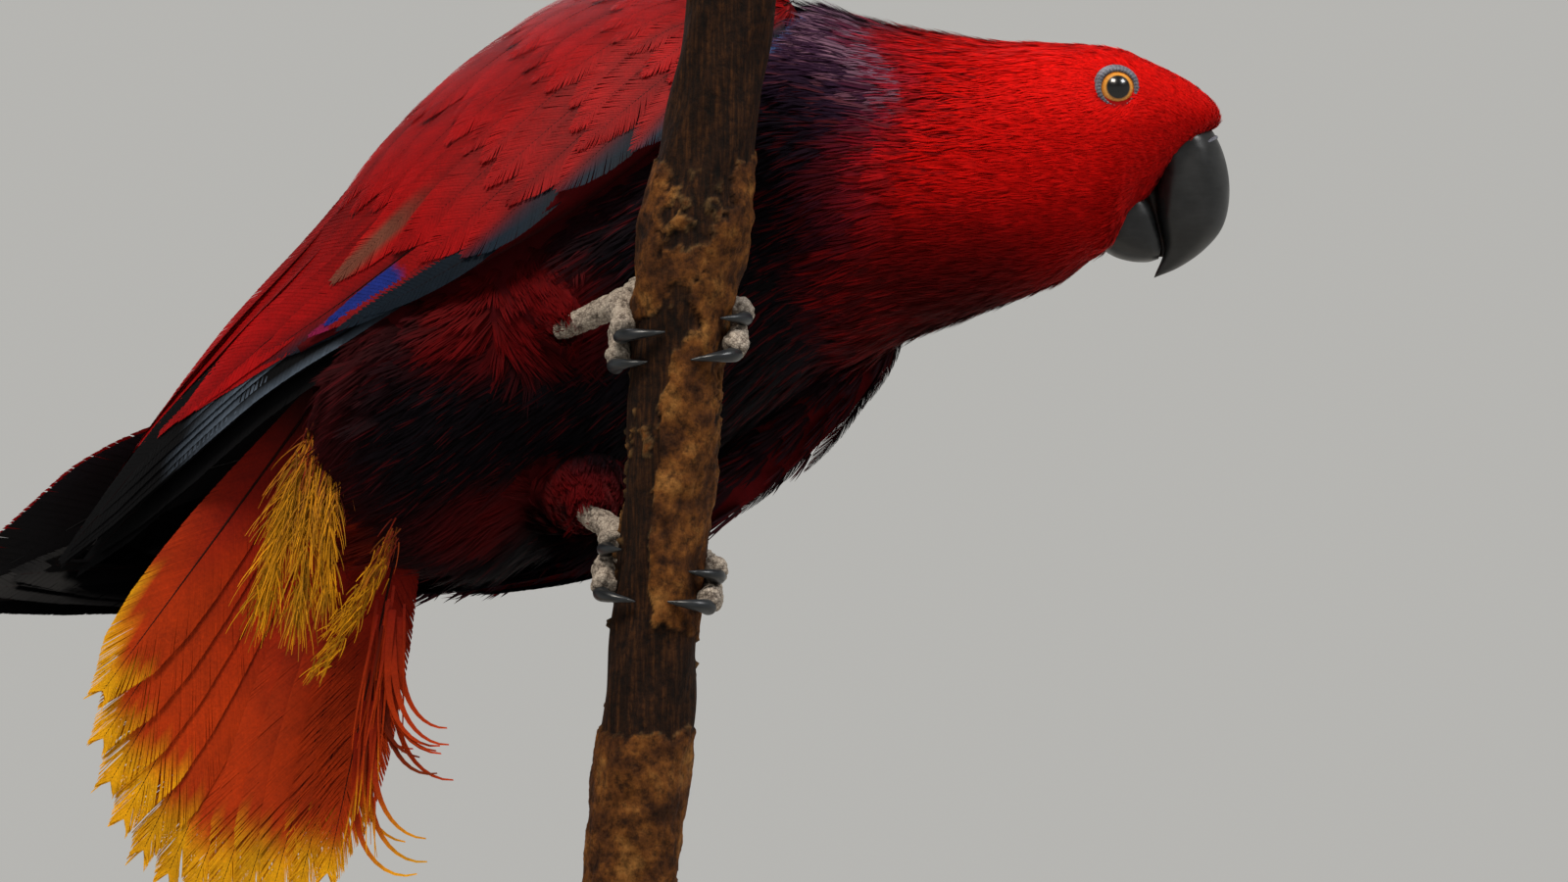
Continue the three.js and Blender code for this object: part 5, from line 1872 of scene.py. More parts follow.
@dataclass
class Tail:
    """Twelve tail feathers in a fan, their undersides to the viewer, and the coverts over their roots."""

    root: Triple = (-63, 38, 155)
    lean: float = 22
    spread: float = 14
    root_spread: float = 12
    approach: float = -5
    count: int = 12
    lengths: Triple = (106, 141, 127)
    half: float = 9.5
    layer: float = 0.85

    def axes(self) -> tuple[Array, Array, Array]:
        """Down the tail, to the bird's right, and towards the viewer.

        Returns:
            Three unit vectors.
        """
        lean = math.radians(self.lean)
        down = unit(np.array([-math.sin(lean), math.tan(math.radians(self.approach)), -math.cos(lean)]))
        right = np.array([-math.cos(lean), 0, math.sin(lean)])
        facing = unit(np.cross(right, down))
        return down, right, facing if facing[1] < 0 else -facing

    def spine(self, place: float, layer: float) -> Spine:
        """The line of one feather of the fan.

        Args:
            place: 1 at the bird's right edge, -1 at its left.
            layer: how many layers it lies towards the viewer.

        Returns:
            The line as a function of shares of the length.
        """
        down, right, facing = self.axes()
        angle = math.radians(self.spread * (place if place > 0 else 0.72 * place))
        along = down * math.cos(angle) + right * math.sin(angle)
        side = unit(np.cross(along, facing))
        root = np.array(self.root) + right * self.root_spread * place + facing * layer * self.layer
        outer_right, middle, outer_left = self.lengths
        edge = abs(place) ** 1.8
        length = middle + ((outer_right if place > 0 else outer_left) - middle) * edge

        def line(k: Array) -> tuple[Array, Array, Array, Array]:
            """The feather's line.

            Args:
                k: shares of its length.

            Returns:
                Centres, side vectors, normals and half widths.
            """
            ones = np.ones((len(k), 1))
            sag = 3 * np.sin(np.pi * k)[:, None]
            centre = root + along * length * k[:, None] - facing * sag
            shape = np.interp(k, np.linspace(0, 1, 9), (0.25, 0.42, 0.6, 0.78, 0.93, 1.0, 1.0, 0.85, 0.3))
            return centre, side * ones, facing * ones, self.half * shape

        return line

    @staticmethod
    def paint(seed: int, place: float) -> Paint:
        """Dark red at the root, orange down the vane and a yellow end.

        Args:
            seed: the draw of the feather's own shade.
            place: 1 at the bird's right edge, -1 at its left.

        Returns:
            A function from shares of the length and places across to colours.
        """
        draw = np.random.default_rng(seed)
        shade = 1 + draw.normal(0, 0.08)
        band = 0.89 + 0.03 * abs(place) + draw.normal(0, 0.012)

        def colours(k: Array, w: Array) -> Array:
            """The feather's colours.

            Args:
                k: shares of its length.
                w: places across it, from -1 to 1.

            Returns:
                A colour for each.
            """
            root, red, orange, yellow = rgb("3d0604"), rgb("861403"), rgb("b03405"), rgb("e2a10a")
            middle = smooth(0.4, 0.86, k + 0.1 * np.abs(w))
            outer = np.clip(w, 0, 1) ** 1.5 * max(place, 0.0) ** 2
            end = smooth(band - 0.04, band + 0.04, k + 0.03 * w**2 + 0.2 * outer)
            body = mix(mix(root, red, smooth(0.1, 0.35, k)), orange, middle)
            return mix(body, yellow, end) * shade

        return colours

    def build(self) -> list[Piece]:
        """The fan, its dark upper side, the yellow feathers under it and the worn left edge.

        Returns:
            The pieces, dressed.
        """
        pieces, backs = [], []
        for i in range(self.count):
            place = 1 - 2 * i / (self.count - 1)
            layer = abs(place) * 6 + (0.45 if place < 0 else 0)
            worn = place < -0.7
            feather = Feather(
                spacing=0.5, sweep=1.5, loose=0.14 if worn else 0.03, fray=0.2, thin=1.4, shaft=0.5
            )
            spot = ((i % 4) / 4, (i // 4) / 4, 0.24)
            spine, look = self.spine(place, layer), self.paint(i, place)
            pieces.append(feather.build(spine, look, "2a0d06", spot, 900 + i))
            coarse = Feather(spacing=1.4, sweep=1.5, loose=0.03, fray=0.4, shaft=0.3)
            upper = self.spine(place, layer - 1.4)
            spot = ((i % 4) / 4, 0.75, 0.24)
            backs.append(coarse.build(upper, self.upper_paint, "2a0d06", spot, 1900 + i))
        fan = dress(Surface.joined(pieces).to_object("tail_fan"), VANES, ("tail",))
        back = dress(Surface.joined(backs).to_object("tail_upper_side"), VANES)
        return [fan, back, *self.curls(), *self.vent()]

    @staticmethod
    def upper_paint(k: Array, w: Array) -> Array:
        """The tail's upper face: dark red, then orange, with a yellow band at its end."""
        body = mix(rgb("7a0a0a"), rgb("a8330a"), smooth(0.3, 0.85, k))
        return mix(body, rgb("e8aa16"), smooth(0.84, 0.92, k + 0.04 * w**2))

    def curls(self) -> list[Piece]:
        """Loose barbs that hang from the worn outer edge of the bird's left side and hook outwards.

        Returns:
            The piece, dressed, in a list.
        """
        draw = np.random.default_rng(44)
        strands = []
        count, steps = 64, 17
        for i in range(count):
            hook = i % 5 == 0
            fall = draw.uniform(0, 1)
            start = np.array(
                [-60 - 6 * fall + draw.normal(0, 1.2), -4 - 3 * draw.uniform(0, 1), 104 - 40 * fall]
            )
            reach = draw.uniform(34, 46) if hook else draw.uniform(22, 40)
            t = np.linspace(0, 1, steps)
            bend = draw.uniform(95, 140) if hook else draw.uniform(-6, 14)
            turn = np.radians(-96 + draw.normal(0, 4) + bend * t**2.8)
            path = np.zeros((steps, 3))
            path[1:, 0] = np.cumsum(np.cos(turn[:-1])) * reach / (steps - 1)
            path[1:, 2] = np.cumsum(np.sin(turn[:-1])) * reach / (steps - 1)
            path[:, 1] = draw.normal(-0.4, 0.6) * t * 3
            path += start
            wide = (0.95 if hook else 0.36) * (1 - 0.8 * t**2)
            across = np.stack([-np.sin(turn), np.full(steps, 0.25), np.cos(turn)], axis=-1)
            end = smooth(0.5, 1.0, t) * smooth(0.4, 0.9, np.array([fall]))
            tone = mix(mix(rgb("7a1404"), rgb("b83a06"), t), rgb("dc9c10"), end)
            tone = tone * (0.35 if i % 7 == 3 else 1.0)
            spot = np.array([0.02 + 0.014 * i, 0.95]) + np.c_[t * 0.003, t * 0.003]
            strands.append(ribbon(path, across * wide[:, None], tone, spot))
        return [dress(Surface.joined(strands).to_object("tail_curls"), VANES)]

    def vent(self) -> list[Piece]:
        """The long wispy yellow feathers that hang from the vent in front of the tail, barb by barb.

        Returns:
            The piece, dressed, in a list.
        """
        draw = np.random.default_rng(77)
        axes = (
            ((-80, 12, 144), (-88, 3, 116), (-94, 0, 94), 11, 240),
            ((-78, 11, 144), (-82, 2, 116), (-84, -1, 90), 10, 250),
            ((-75, 10, 143), (-76, 1, 118), (-77, -2, 95), 8, 200),
            ((-79, 14, 146), (-86, 5, 126), (-92, 2, 106), 9, 150),
            ((-59, -4, 117), (-68, -7, 98), (-82, -8, 77), 4.5, 190),
            ((-58, -3, 120), (-66, -6, 104), (-78, -7, 88), 4, 100),
        )
        barbs = []
        for number, (root, middle, tip, spread, count) in enumerate(axes):
            table = np.c_[[0, 0.5, 1.0], np.array([root, middle, tip], float)]
            for _ in range(count):
                k = draw.uniform(0.0, 0.88) ** 0.9
                start, ahead = blend_rows(table, np.array([k, k + 0.02]))
                ahead = unit(ahead - start)
                across = unit(np.cross(ahead, [0, 1.0, 0]))
                way = draw.normal(0, 1)
                reach = draw.uniform(0.6, 1.0) * spread * (1.9 - 0.7 * k)
                t = np.linspace(0, 1, 6)[:, None]
                lean = 0.34 * way * (t - 0.35 * t**2)
                path = start + ahead * t * reach + across * lean * reach
                path = path + across * draw.normal(0, 1.1) + np.array([0, -1.0, 0]) * draw.uniform(-1.5, 2.0)
                path[:, 1] += draw.normal(0, 1.2) * t[:, 0] ** 2
                wide = draw.uniform(0.13, 0.24) * (1 - 0.75 * t)
                ripe = smooth(0.0, 0.34, np.array([k + 0.1 * draw.normal()]))
                tone = (rgb("8a2004") * (1 - ripe) + rgb("d99208") * ripe) * draw.uniform(0.35, 1.15)
                tone = tone * (0.7 + 0.4 * t)
                spot = np.array([(number + 0.5) / 6 + draw.uniform(-0.06, 0.06), 0.03 + 0.94 * k])
                barbs.append(ribbon(path, across * wide, tone, spot + np.c_[np.zeros_like(t), t * 0.003]))
        return [dress(Surface.joined(barbs).to_object("vent_plumes"), VANES)]


# Bill, tongue and eyes


@dataclass
class Bill:
    """The two horn halves, the tongue between them, and the bare cere at the upper one's root."""

    middle_y: float = 1
    upper: Table = (
        (141, 223, 131, 213, 8.5), (147.5, 221, 134.5, 212.5, 10), (151.3, 215.5, 136, 208.5, 10.8),
        (153.4, 208, 135.4, 204, 10.8), (153.5, 200.5, 135.2, 198.5, 10), (151.6, 194, 136, 194, 8.6),
        (147, 188.6, 137, 190.2, 6.4), (140.8, 184.3, 136.6, 187, 3.6), (134.4, 181.6, 134.9, 183, 0.6),
    )
    lower: Table = (
        (115, 196, 122, 207, 7.5), (119.5, 190.6, 127, 205.3, 9.4), (123.5, 187.4, 131, 203.3, 9.8),
        (128, 185.9, 134, 199, 9.2), (132.5, 185.6, 135.4, 194, 7.8), (135.5, 186.4, 136.2, 190, 5.6),
    )

    def half(self, sections: Table, name: str, ridge: float) -> Piece:
        """One half of the bill, with paler horn at its root.

        Args:
            sections: x and z of its outer and inner edge, and its half width, from root to tip.
            name: the piece's name.
            ridge: how much it narrows towards the ridge along its outer edge.

        Returns:
            The piece.
        """
        table = np.c_[np.arange(len(sections)), np.array(sections, float)]
        k = np.linspace(0, len(sections) - 1, 90)
        rows = blend_rows(table, k)
        y = np.full(len(k), self.middle_y)
        outer = np.stack([rows[:, 0], y, rows[:, 1]], axis=-1)
        inner = np.stack([rows[:, 2], y, rows[:, 3]], axis=-1)
        centre, depth = (outer + inner) / 2, (outer - inner)
        reach = np.linalg.norm(depth, axis=1)[:, None] / 2
        first = unit(depth)
        angle = turns(64)
        power = 2 / np.where(np.cos(angle) < 0, 3.4, 2.3)
        c = np.sign(np.cos(angle)) * np.abs(np.cos(angle)) ** power
        s = np.sign(np.sin(angle)) * np.abs(np.sin(angle)) ** power
        width = np.maximum(rows[:, 4], 0.3)[:, None] * (1 - ridge * np.clip(c, 0, 1) ** 3)
        points = (
            centre[:, None] + (reach * c)[..., None] * first[:, None]
            + (width * s)[..., None] * np.array([0, 1.0, 0])
        )
        made = Surface.grid(points)
        share = np.r_[np.repeat(k / k[-1], 64), 0, 1]
        side = np.r_[np.tile(c, len(k)), 0, 0]
        pale = smooth(0.14, 0.0, share) * 1.1 + smooth(0.8, 1.0, side) * 0.15
        made.tint = np.repeat((0.9 + pale)[:, None], 3, axis=1)
        return outward(made.to_object(name))

    def tongue(self) -> Piece:
        """The dark tongue in the gape, blunt and thick.

        Returns:
            The tongue.
        """
        k = np.linspace(0, 1, 24)
        share = np.interp(k, [0, 0.25, 0.5, 0.75, 1], [0.7, 1, 1, 0.75, 0.3])
        back, tip = np.array([127, 1, 209.5]), np.array([134.6, 1, 196.0])
        centres = back + (tip - back) * k[:, None]
        made = tube(centres, 4.2 * share, np.array([1, 0, 0.5]), 0.48, 28)
        made.tint = np.full((len(made.points), 3), 0.6)
        return outward(made.to_object("tongue_dark"))

    def lining(self) -> Piece:
        """The dark inside of the mouth, which closes the gape behind the tongue.

        Returns:
            The lining.
        """
        table = np.array(
            [
                (211, 121, 135), (207, 122, 135.3), (203.3, 131, 135.4), (199, 134, 135.2), (194, 135.4, 136),
                (190, 136.2, 137), (187, 136.4, 136.8),
            ]
        )
        rows = blend_rows(np.c_[np.arange(len(table)), table], np.linspace(0, len(table) - 1, 30))
        angle = turns(28)
        middle, reach = (rows[:, 1] + rows[:, 2]) / 2, (rows[:, 2] - rows[:, 1]) / 2 + 1.3
        across = middle[:, None] + reach[:, None] * np.cos(angle)
        parts = np.broadcast_arrays(across, self.middle_y + 2.4 * np.sin(angle), rows[:, :1])
        made = Surface.grid(np.stack(parts, axis=-1))
        made.tint = np.zeros((len(made.points), 3))
        return outward(made.to_object("mouth_lining"))

    def cere(self) -> Piece:
        """The thin bare strip where the forehead's feathers end at the upper half's root.

        Returns:
            The strip.
        """
        side = np.array([(150.2, 0, 217.5), (149.2, 5, 216.9), (146.6, 8.5, 215.3), (143.2, 10.2, 213.2)])
        line = np.concatenate([side[:0:-1] * (1, -1, 1), side]) + (0, self.middle_y, 0)
        k = np.linspace(0, 6, 70)
        centres = blend_rows(np.c_[np.arange(7), line], k)
        radii = 0.55 - 0.05 * np.abs(k - 3)
        made = tube(centres, radii, np.array([0.3, 0.1, 1.0]), 1.0, 12)
        made.tint = np.full((len(made.points), 3), 0.7)
        return outward(made.to_object("cere_strip"))

    def build(self) -> list[Piece]:
        """All of the bill's pieces, dressed.

        Returns:
            The pieces.
        """
        return [
            dress(self.half(self.upper, "bill_upper_horn", 0.3), BILL_HORN, ("bill_upper",)),
            dress(self.half(self.lower, "bill_lower_horn", 0.12), BILL_HORN, ("bill_lower",)),
            dress(self.tongue(), MOUTH_SKIN, ("tongue",)),
            dress(self.lining(), MOUTH_SKIN),
            dress(self.cere(), LID_SKIN),
        ]


@dataclass
class EyeBall:
    """One eye: the ball with its rings of colour, and the bare ring of the lids round it."""

    side: Side
    radius: float = 6.0
    pupil: float = 3.05
    iris: float = 4.45

    @property
    def centre(self) -> Array:
        """The ball's middle."""
        return np.array([124.1, 1 + self.side.head_sign * 14.3, 228.9])

    @property
    def gaze(self) -> Array:
        """The way the eye looks."""
        return unit(np.array([0.12, self.side.head_sign, 0.16]))

    def ring(self, angle: Array) -> Array:
        """Unit vectors across the gaze.

        Args:
            angle: angles round it.

        Returns:
            One row with a vector for each angle.
        """
        first = unit(np.cross(self.gaze, [0, 0, 1.0]))
        second = np.cross(self.gaze, first)
        return np.cos(angle)[None, :, None] * first + np.sin(angle)[None, :, None] * second

    def turned(self, profile: Array, steps: int, name: str, tint: Array) -> Piece:
        """A surface turned round the gaze.

        Args:
            profile: rows of radius and height.
            steps: points in a ring.
            name: the piece's name.
            tint: a colour for each row.

        Returns:
            The piece.
        """
        ring = self.ring(turns(steps))
        points = self.centre + profile[:, 0][:, None, None] * ring + profile[:, 1][:, None, None] * self.gaze
        made = Surface.grid(points)
        made.tint = np.concatenate([np.repeat(tint, steps, axis=0), tint[:1], tint[-1:]])
        return outward(made.to_object(name), 1e-6)

    def ball(self) -> Piece:
        """The ball, its pupil, iris and dark edge, with a slight bulge over the iris.

        Returns:
            The ball.
        """
        theta = np.linspace(0.001, math.pi - 0.001, 72)
        radius = self.radius * np.sin(theta)
        bulge = 0.45 * smooth(0.85, 0.0, theta)
        profile = np.stack([radius, self.radius * np.cos(theta) + bulge], axis=-1)
        front = np.cos(theta) > 0
        dark, ring, iris, outer = rgb("020202"), rgb("e09a3a"), rgb("b8651c"), rgb("1a0f0a")
        inside = smooth(self.pupil + 0.12, self.pupil - 0.12, radius)
        edge = smooth(self.iris - 0.35, self.iris + 0.1, radius)
        glow = smooth(self.pupil, self.iris, radius)
        tint = mix(mix(mix(ring, iris, glow), outer, edge), dark, inside)
        tint = np.where(front[:, None], tint, outer)
        return self.turned(profile, 64, f"eye_{self.side.value}_ball", tint)

    def lids(self) -> Piece:
        """The bare ring, with fine folds across it.

        Returns:
            The ring.
        """
        table = np.array(
            [
                (4.0, 3.6), (4.2, 4.35), (4.42, 4.75), (4.7, 4.88), (5.0, 4.72), (5.35, 4.3), (5.8, 3.5),
                (6.3, 2.3), (6.6, 1.2),
            ]
        )
        angle = turns(180)
        k = np.linspace(0, len(table) - 1, 34)
        profile = blend_rows(np.c_[np.arange(len(table)), table], k)
        fold = 0.09 * np.sin(angle * 34)[None] * np.sin(np.pi * k / k[-1])[:, None]
        fold = fold + 0.07 * np.sin(k * 5.0)[:, None]
        points = (
            self.centre
            + profile[:, 0][:, None, None] * self.ring(angle)
            + (profile[:, 1][:, None] + fold)[..., None] * self.gaze
        )
        made = Surface.grid(points, capped=False)
        made.tint = np.repeat((0.45 + fold.reshape(-1) * 3)[:, None], 3, axis=1)
        return outward(made.to_object(f"eye_{self.side.value}_lids"))

    def build(self) -> list[Piece]:
        """The ball and the lids, dressed.

        Returns:
            The pieces.
        """
        return [
            dress(self.ball(), EYE, (f"eye_{self.side.value}",)),
            dress(self.lids(), LID_SKIN),
        ]


# Branch, feet and stand


@dataclass
class Branch:
    """The cut length of branch: smooth wood with flakes of peeling bark."""

    rows: Table = (
        (22, 0.8, 11.6), (60, 4.6, 12.4), (100, 8.2, 11.2), (140, 11.8, 11.8), (168, 13.8, 12.4),
        (190, 16.8, 14), (212, 20.6, 12.6), (240, 25, 11.8), (267, 29.5, 12.2),
    )
    y: float = -45
    bottom: float = 22
    top: float = 267

    def beside(self, height: Array, angle: Array, distance: Array, side: float) -> tuple[Array, Array]:
        """Points beside the branch, and the way out from its axis there.

        Args:
            height: heights in millimetres.
            angle: degrees from the branch's back, towards -X on side 1.
            distance: how far outside its surface.
            side: 1 or -1.

        Returns:
            The points and the outward directions.
        """
        x, radius = np.moveaxis(blend_rows(self.rows, height), -1, 0)
        turn = np.radians(angle)
        out = np.stack([-side * np.sin(turn), np.cos(turn), np.zeros_like(turn)], axis=-1)
        axis = np.stack([x, np.full_like(x, self.y), height], axis=-1)
        return axis + out * (radius + distance)[..., None], out

    def build(self) -> list[Piece]:
        """The branch and its two sawn ends, dressed.

        Returns:
            The pieces.
        """
        steps, sides = 340, 150
        height = np.linspace(self.bottom, self.top, steps)
        angle = turns(sides)
        x, radius = np.moveaxis(blend_rows(self.rows, height), -1, 0)
        grid_h, grid_a = np.meshgrid(height, angle, indexing="ij")
        ring = np.stack([np.cos(grid_a), np.sin(grid_a)], axis=-1)
        noise = Cloud(5)
        spot = np.stack([ring[..., 0] * 12, ring[..., 1] * 12, grid_h], axis=-1)
        broad = noise.at(spot * np.array([0.075, 0.075, 0.035]))
        rough = noise.at(spot * 0.33) * 0.65 + noise.at(spot * 0.8) * 0.35
        bare = 1.05 * smooth(206, 217, grid_h) + 0.95 * smooth(96, 88, grid_h) * smooth(63, 70, grid_h)
        bare += 0.95 * smooth(0.0, -0.35, ring[..., 0]) * smooth(86, 97, grid_h) * smooth(178, 164, grid_h)
        mask = 0.75 * broad + 0.45 * rough + 0.36 - bare + 0.2 * smooth(168, 176, grid_h)
        level = smooth(0.0, 0.05, mask)
        torn = np.exp(-(((mask - 0.03) / 0.045) ** 2)) * smooth(-0.3, 0.3, rough)
        flake = level * (0.85 + 0.5 * noise.at(spot * 0.2)) + 0.5 * torn * (1 + noise.at(spot * 1.1))
        grain = 0.10 * noise.at(spot * np.array([1.3, 1.3, 0.12])) + 0.16 * noise.at(spot * 1.7) * level
        grain += 0.4 * noise.at(spot * np.array([0.5, 0.5, 0.28])) * level
        wave = 0.5 * np.sin(3 * grid_a + grid_h * 0.11) + 0.35 * np.sin(5 * grid_a - grid_h * 0.23)
        knot = 1.6 * np.exp(-(((grid_h - 196) / 6) ** 2)) * (0.6 + 0.4 * np.cos(grid_a * 2 + 1))
        reach = radius[:, None] - 0.6 + wave * 0.8 + flake * 0.75 + grain + knot * 0.5
        points = np.stack([x[:, None] + ring[..., 0] * reach, self.y + ring[..., 1] * reach, grid_h], axis=-1)
        piece = outward(Surface.grid(points, capped=False).to_object("branch_bark"))
        store(piece.data, level=level.reshape(-1), torn=np.clip(torn, 0, 1).reshape(-1) * 0.6)
        ends = [self.sawn(points[0], "branch_end_low"), self.sawn(points[-1], "branch_end_top")]
        return [dress(piece, BARK, ("perch",)), *[dress(end, BARK) for end in ends]]

    def sawn(self, rim: Array, name: str) -> Piece:
        """A sawn end with shallow growth rings.

        Args:
            rim: the bark's last ring of points.
            name: the piece's name.

        Returns:
            The piece.
        """
        middle = rim.mean(axis=0)
        share = np.linspace(1, 0.02, 40)
        rings = middle + (rim - middle)[None] * share[:, None, None]
        rings[..., 2] += 0.06 * np.sin(share * 60)[:, None]
        made = outward(Surface.grid(rings, capped=False).to_object(name))
        level = np.repeat(0.45 + 0.3 * np.sin(share * 60), rim.shape[0])
        store(made.data, level=level, torn=np.full(len(made.data.vertices), 0.12))
        return made


class Cloud:
    """Smooth noise in three dimensions, from a lattice of random values."""

    def __init__(self, seed: int) -> None:
        """Draws the lattice.

        Args:
            seed: the draw.
        """
        self.table = np.random.default_rng(seed).uniform(-1, 1, (64, 64, 64))

    def at(self, points: Array) -> Array:
        """Noise at points.

        Args:
            points: the points, one lattice cell to each unit.

        Returns:
            Values from -1 to 1.
        """
        low = np.floor(points).astype(int)
        t = points - low
        t = t * t * (3 - 2 * t)
        out = np.zeros(points.shape[:-1])
        for corner in range(8):
            step = np.array([corner & 1, (corner >> 1) & 1, (corner >> 2) & 1])
            weight = np.prod(np.where(step, t, 1 - t), axis=-1)
            i, j, k = np.moveaxis((low + step) % 64, -1, 0)
            out += weight * self.table[i, j, k]
        return out


@dataclass
class Foot:
    """A foot: shin, pad and four toes under rows of scales, with a claw at each toe's end."""

    leg: Leg
    branch: Branch

    def toe(self, toe: tuple[float, ...]) -> Surface:
        """A toe that wraps the branch, with its joints.

        Args:
            toe: its row of the leg.

        Returns:
            The toe's surface.
        """
        side, start, end, end_angle, _ = toe
        k = np.linspace(0, 1, 130)
        radius = 3.9 + (3.0 - 3.9) * k + 0.4 * np.cos(k * 4 * np.pi)
        angle = side * 30 + (end_angle - side * 30) * k
        height = start + (end - start) * k**1.3
        centre, out = self.branch.beside(height, angle, radius - 0.5, side)
        radius = radius + 0.6 * np.abs(np.sin(np.pi * run_of(centre) / 2.1)) - 0.35
        taper = np.where(k > 0.93, np.sqrt(np.clip(1 - ((k - 0.93) / 0.075) ** 2, 0.05, 1)), 1)
        return tube(centre, radius * taper, out, 0.94, 26)

    def build(self) -> list[Piece]:
        """The scaly foot and its claws, dressed.

        Returns:
            The pieces.
        """
        name = self.leg.side.value
        height, turn = (np.array([value]) for value in self.leg.pad)
        pad, _ = self.branch.beside(height, turn, np.array([5.2]), 1)
        heel = np.array(self.leg.heel, float)
        middle = (heel + pad[0]) / 2 + np.array([0, 1.5, 1])
        k = np.linspace(0, 1, 40)
        knots = np.stack([heel + (pad[0] - heel) * -0.1, heel, middle, pad[0]])
        shin_line = blend_rows(np.c_[[0, 0.12, 0.55, 1.0], knots], k)
        thick = 4.4 * np.interp(k, [0, 0.12, 0.55, 1], [0.5, 0.62, 0.76, 1.2])
        shin = tube(shin_line, thick, np.array([0, -1, 0.2]))
        ball = tube(
            pad[0] + np.linspace(-6.4, 6.4, 16)[:, None] * np.array([[0, 0, 1.0]]),
            6.8 * np.sqrt(np.clip(1 - np.linspace(-0.97, 0.97, 16) ** 2, 0.02, 1)), np.array([0, 1.0, 0]),
        )
        parts = [shin, ball, *[self.toe(t) for t in self.leg.toes]]
        foot = fused([outward(p.to_object("foot_part")) for p in parts], f"foot_{name}_scaly", 0.44, 1)
        self.scales(foot.data)
        made = [dress(foot, FOOT_SKIN, (f"foot_{name}",))]
        for number, toe in enumerate(self.leg.toes, 1):
            made.append(self.claw(toe, f"claw_{name}_{number}"))
        return made

    def scales(self, mesh: Mesh) -> None:
        """Raises rounded scales from the skin and marks how high each part stands.

        Args:
            mesh: the foot's mesh.
        """
        points, normals = points_of(mesh), normals_of(mesh)
        draw = np.random.default_rng(8)
        seeds = points[draw.permutation(len(points))[: max(60, len(points) // 8)]]
        near = nearest(points, seeds)
        away = np.linalg.norm(points - seeds[near], axis=1)
        dome = np.clip(1 - (away / 0.75) ** 2, 0, 1) ** 0.7
        fold = Cloud(9).at(points * 0.5)
        move_points(mesh, points + normals * (0.34 * dome + 0.25 * fold - 0.18)[:, None])
        high = np.clip(0.25 + 0.75 * dome + 0.15 * fold, 0, 1)
        store(mesh, tint=opaque(np.repeat(high[:, None], 3, axis=1)))

    def claw(self, toe: tuple[float, ...], node: str) -> Piece:
        """A curved claw from the toe's end round the branch, dressed.

        Args:
            toe: its toe's row of the leg.
            node: the solid it stands for.

        Returns:
            The piece.
        """
        side, _, end, end_angle, drop = toe
        k = np.linspace(0, 1, 40)
        radius = 2.0 + (0.18 - 2.0) * k**1.35
        angle = end_angle - 6 + 52 * k
        height = end - 1.2 + drop * k
        distance = 0.3 + radius + 1.5 * np.sin(np.pi * np.minimum(1, k + 0.2))
        centre, out = self.branch.beside(height, angle, distance, side)
        made = tube(centre, radius, out, 1.12, 24)
        made.tint = np.full((len(made.points), 3), 1.0)
        piece = outward(made.to_object(node + "_horn"))
        return dress(piece, CLAW_HORN, (node,))


@dataclass
class Stand:
    """The display stand: a rounded board with eased edges, and the rod up into the branch's foot."""

    width: float = 190
    depth: float = 150
    height: float = 12
    corner: float = 14
    ease: float = 1.4
    rod: float = 5

    def outline(self, inset: float) -> Array:
        """The board's outline.

        Args:
            inset: how far it is drawn in.

        Returns:
            Rows of x and y.
        """
        w, d, c = self.width / 2 - inset, self.depth / 2 - inset, self.corner - inset
        corners = [(w - c, -d + c, -90), (w - c, d - c, 0), (-w + c, d - c, 90), (-w + c, -d + c, 180)]
        out = []
        for x, y, start in corners:
            for angle in np.radians(np.linspace(start, start + 90, 24)):
                out.append((x + c * math.cos(angle), y + c * math.sin(angle)))
        return np.array(out)

    def build(self) -> list[Piece]:
        """The board and the rod, dressed.

        Returns:
            The pieces.
        """
        rings = []
        for turn in np.radians(np.linspace(0, 90, 7)):
            inset = self.ease * (1 - math.sin(turn))
            low = self.ease * (1 - math.cos(turn))
            rings.append(np.c_[self.outline(inset), np.full(96, low * 0.5)])
        for turn in np.radians(np.linspace(0, 90, 7)):
            inset = self.ease * (1 - math.cos(turn))
            high = self.height - self.ease * (1 - math.sin(turn))
            rings.append(np.c_[self.outline(inset), np.full(96, high)])
        board = outward(Surface.grid(np.stack(rings)).to_object("stand_board", shade_smooth=False))
        for polygon in board.data.polygons:
            polygon.use_smooth = polygon.area < 1e-4
        foot = blend_rows(Branch.rows, float(Branch.bottom))
        z = np.array([12.0, 12.6, 13.2, 13.2, 21.6, 21.9])
        radius = self.rod + np.array([3.0, 3.0, 2.4, 0.0, 0.0, -0.2])
        centres = np.c_[np.full(6, foot[0]), np.full(6, float(Branch.y)), z]
        rings = centres[:, None] + radius[:, None, None] * circle(64)
        rod = outward(Surface.grid(rings).to_object("stand_rod_steel", shade_smooth=False))
        return [
            dress(board, ENAMEL, ("stand_base",)),
            dress(rod, STEEL, ("stand_rod",)),
        ]


# Studio


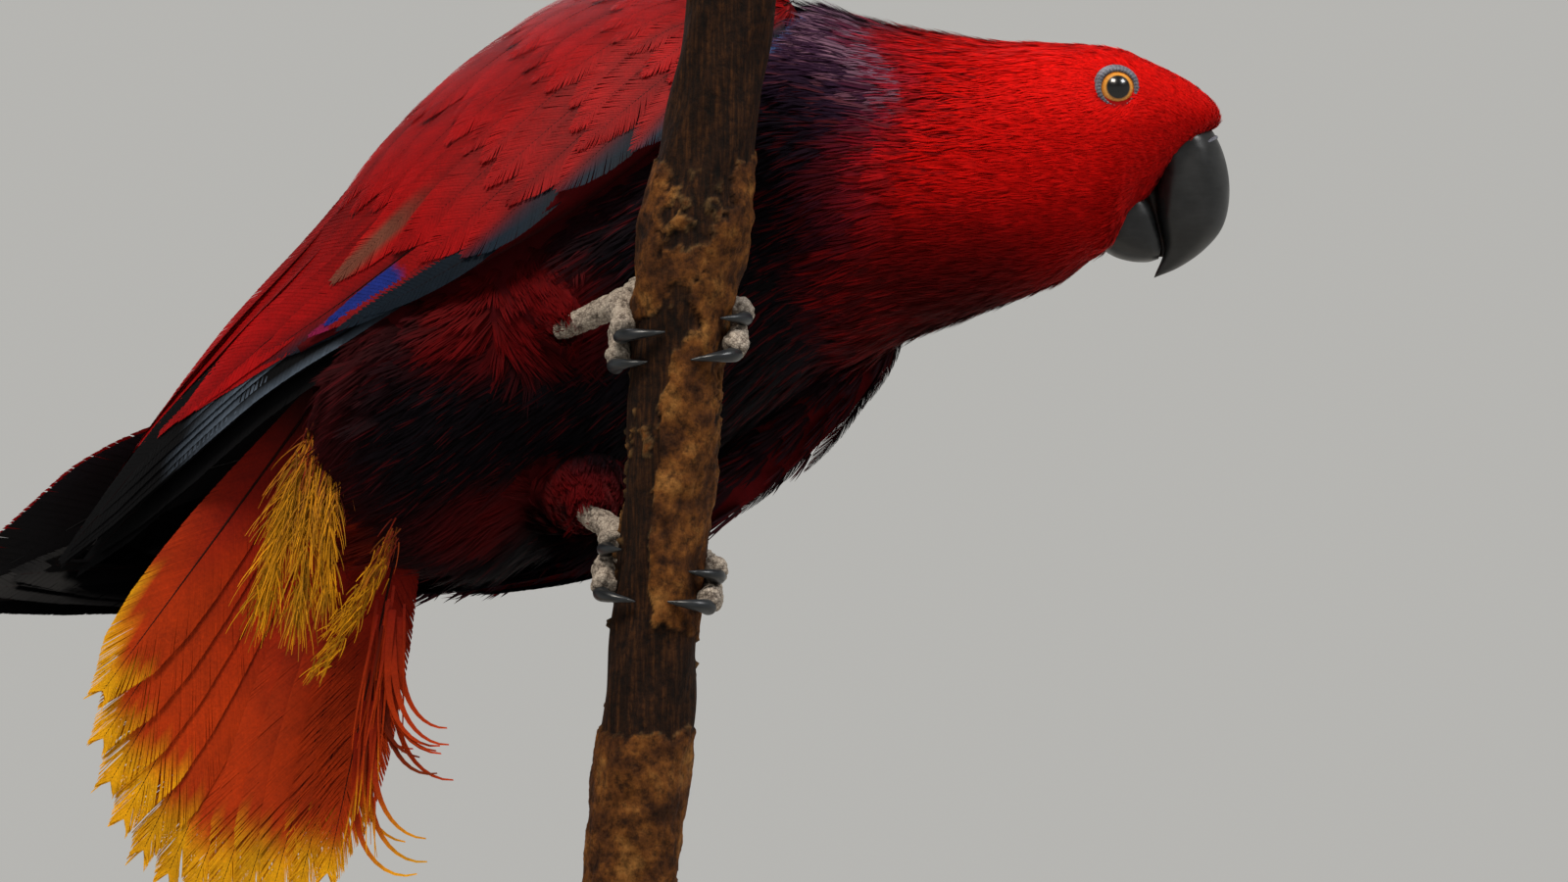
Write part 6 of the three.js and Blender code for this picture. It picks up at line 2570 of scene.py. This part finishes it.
@dataclass
class Studio:
    """Pale floor and even light, soft lamps, and the camera at the photo's angle."""

    distance: float = 3.0
    lens: float = 270
    surround: str = "d3d2ce"
    strength: float = 0.72

    def lamp(self, name: str, place: Triple, size: float, power: float, code: str) -> None:
        """A square soft lamp aimed at the bird.

        Args:
            name: its name.
            place: where it hangs, in metres.
            size: its side in metres.
            power: its watts.
            code: its colour.
        """
        data = bpy.data.lights.new(name, "AREA")
        data.size, data.energy, data.color = size, power, linear(code)[:3]
        made = bpy.data.objects.new(name, data)
        made.location = place
        aim = Vector((0.0, 0.0, 0.16)) - Vector(place)
        made.rotation_euler = aim.to_track_quat("-Z", "Y").to_euler()
        bpy.context.scene.collection.objects.link(made)

    def build(self) -> None:
        """Makes the floor, the surround, the lamps and the camera."""
        radius = np.array([0.02, 300.0, 900, 3000, 9000])
        rings = radius[:, None, None] * circle(96)
        floor = Surface.grid(rings, capped=False).to_object("studio_floor")
        outward(floor)
        floor.data.materials.append(FLOOR.material())
        world = bpy.data.worlds.new("pale_surround")
        bpy.context.scene.world = world
        world.use_nodes = True
        world.node_tree.nodes.clear()
        add = partial(add_node, world.node_tree)
        way = add("ShaderNodeTexCoord").outputs["Generated"]
        rise = add("ShaderNodeSeparateXYZ", {"Vector": way}).outputs["Z"]
        span = {"From Min": 0.1, "From Max": 0.6, "To Min": self.strength, "To Max": self.strength * 0.3}
        level = add("ShaderNodeMapRange", {"Value": rise, **span}, interpolation_type="SMOOTHSTEP")
        back = add("ShaderNodeBackground", {"Color": linear(self.surround), "Strength": level})
        add("ShaderNodeOutputWorld", {"Surface": back})
        self.lamp("key_softbox", (-0.5, -1.0, 2.1), 0.7, 46, "fff6ea")
        self.lamp("head_softbox", (1.1, -0.5, 1.5), 0.5, 16, "ffffff")
        self.lamp("rim_softbox", (-0.4, 1.3, 1.5), 0.6, 10, "f1f5ff")
        camera = bpy.data.cameras.new("photo_camera")
        camera.lens, camera.sensor_width = self.lens, 36
        camera.clip_start, camera.clip_end = 0.1, 30
        made = bpy.data.objects.new("photo_camera", camera)
        made.location = (0.04, -self.distance, 0.14)
        made.rotation_euler = (math.radians(90), 0, 0)
        bpy.context.scene.collection.objects.link(made)
        bpy.context.scene.camera = made
        bpy.context.scene.view_settings.view_transform = "Standard"


def main() -> None:
    """Builds every part of the model in order."""
    logging.basicConfig(level=logging.INFO, format="%(name)s: %(message)s")
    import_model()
    Studio().build()
    branch = Branch()
    wings = [
        Wing(WingSet(Side.RIGHT)),
        Wing(WingSet(Side.LEFT, out=7, drop=7, slide=-9, swing=(13, 5, 11, 9, 9))),
    ]
    cores = [wing.core() for wing in wings]
    made = Flesh().build(cores)
    for wing, core in zip(wings, cores):
        made += wing.build(core)
    made += Tail().build()
    made += Bill().build()
    for side in Side:
        made += EyeBall(side).build()
    made += branch.build()
    for leg in (RIGHT_LEG, LEFT_LEG):
        made += Foot(leg, branch).build()
    made += Stand().build()
    total = sum(len(piece.data.polygons) for piece in made)
    LOG.info("%d pieces, %d faces", len(made), total)


if __name__ == "__main__":
    main()
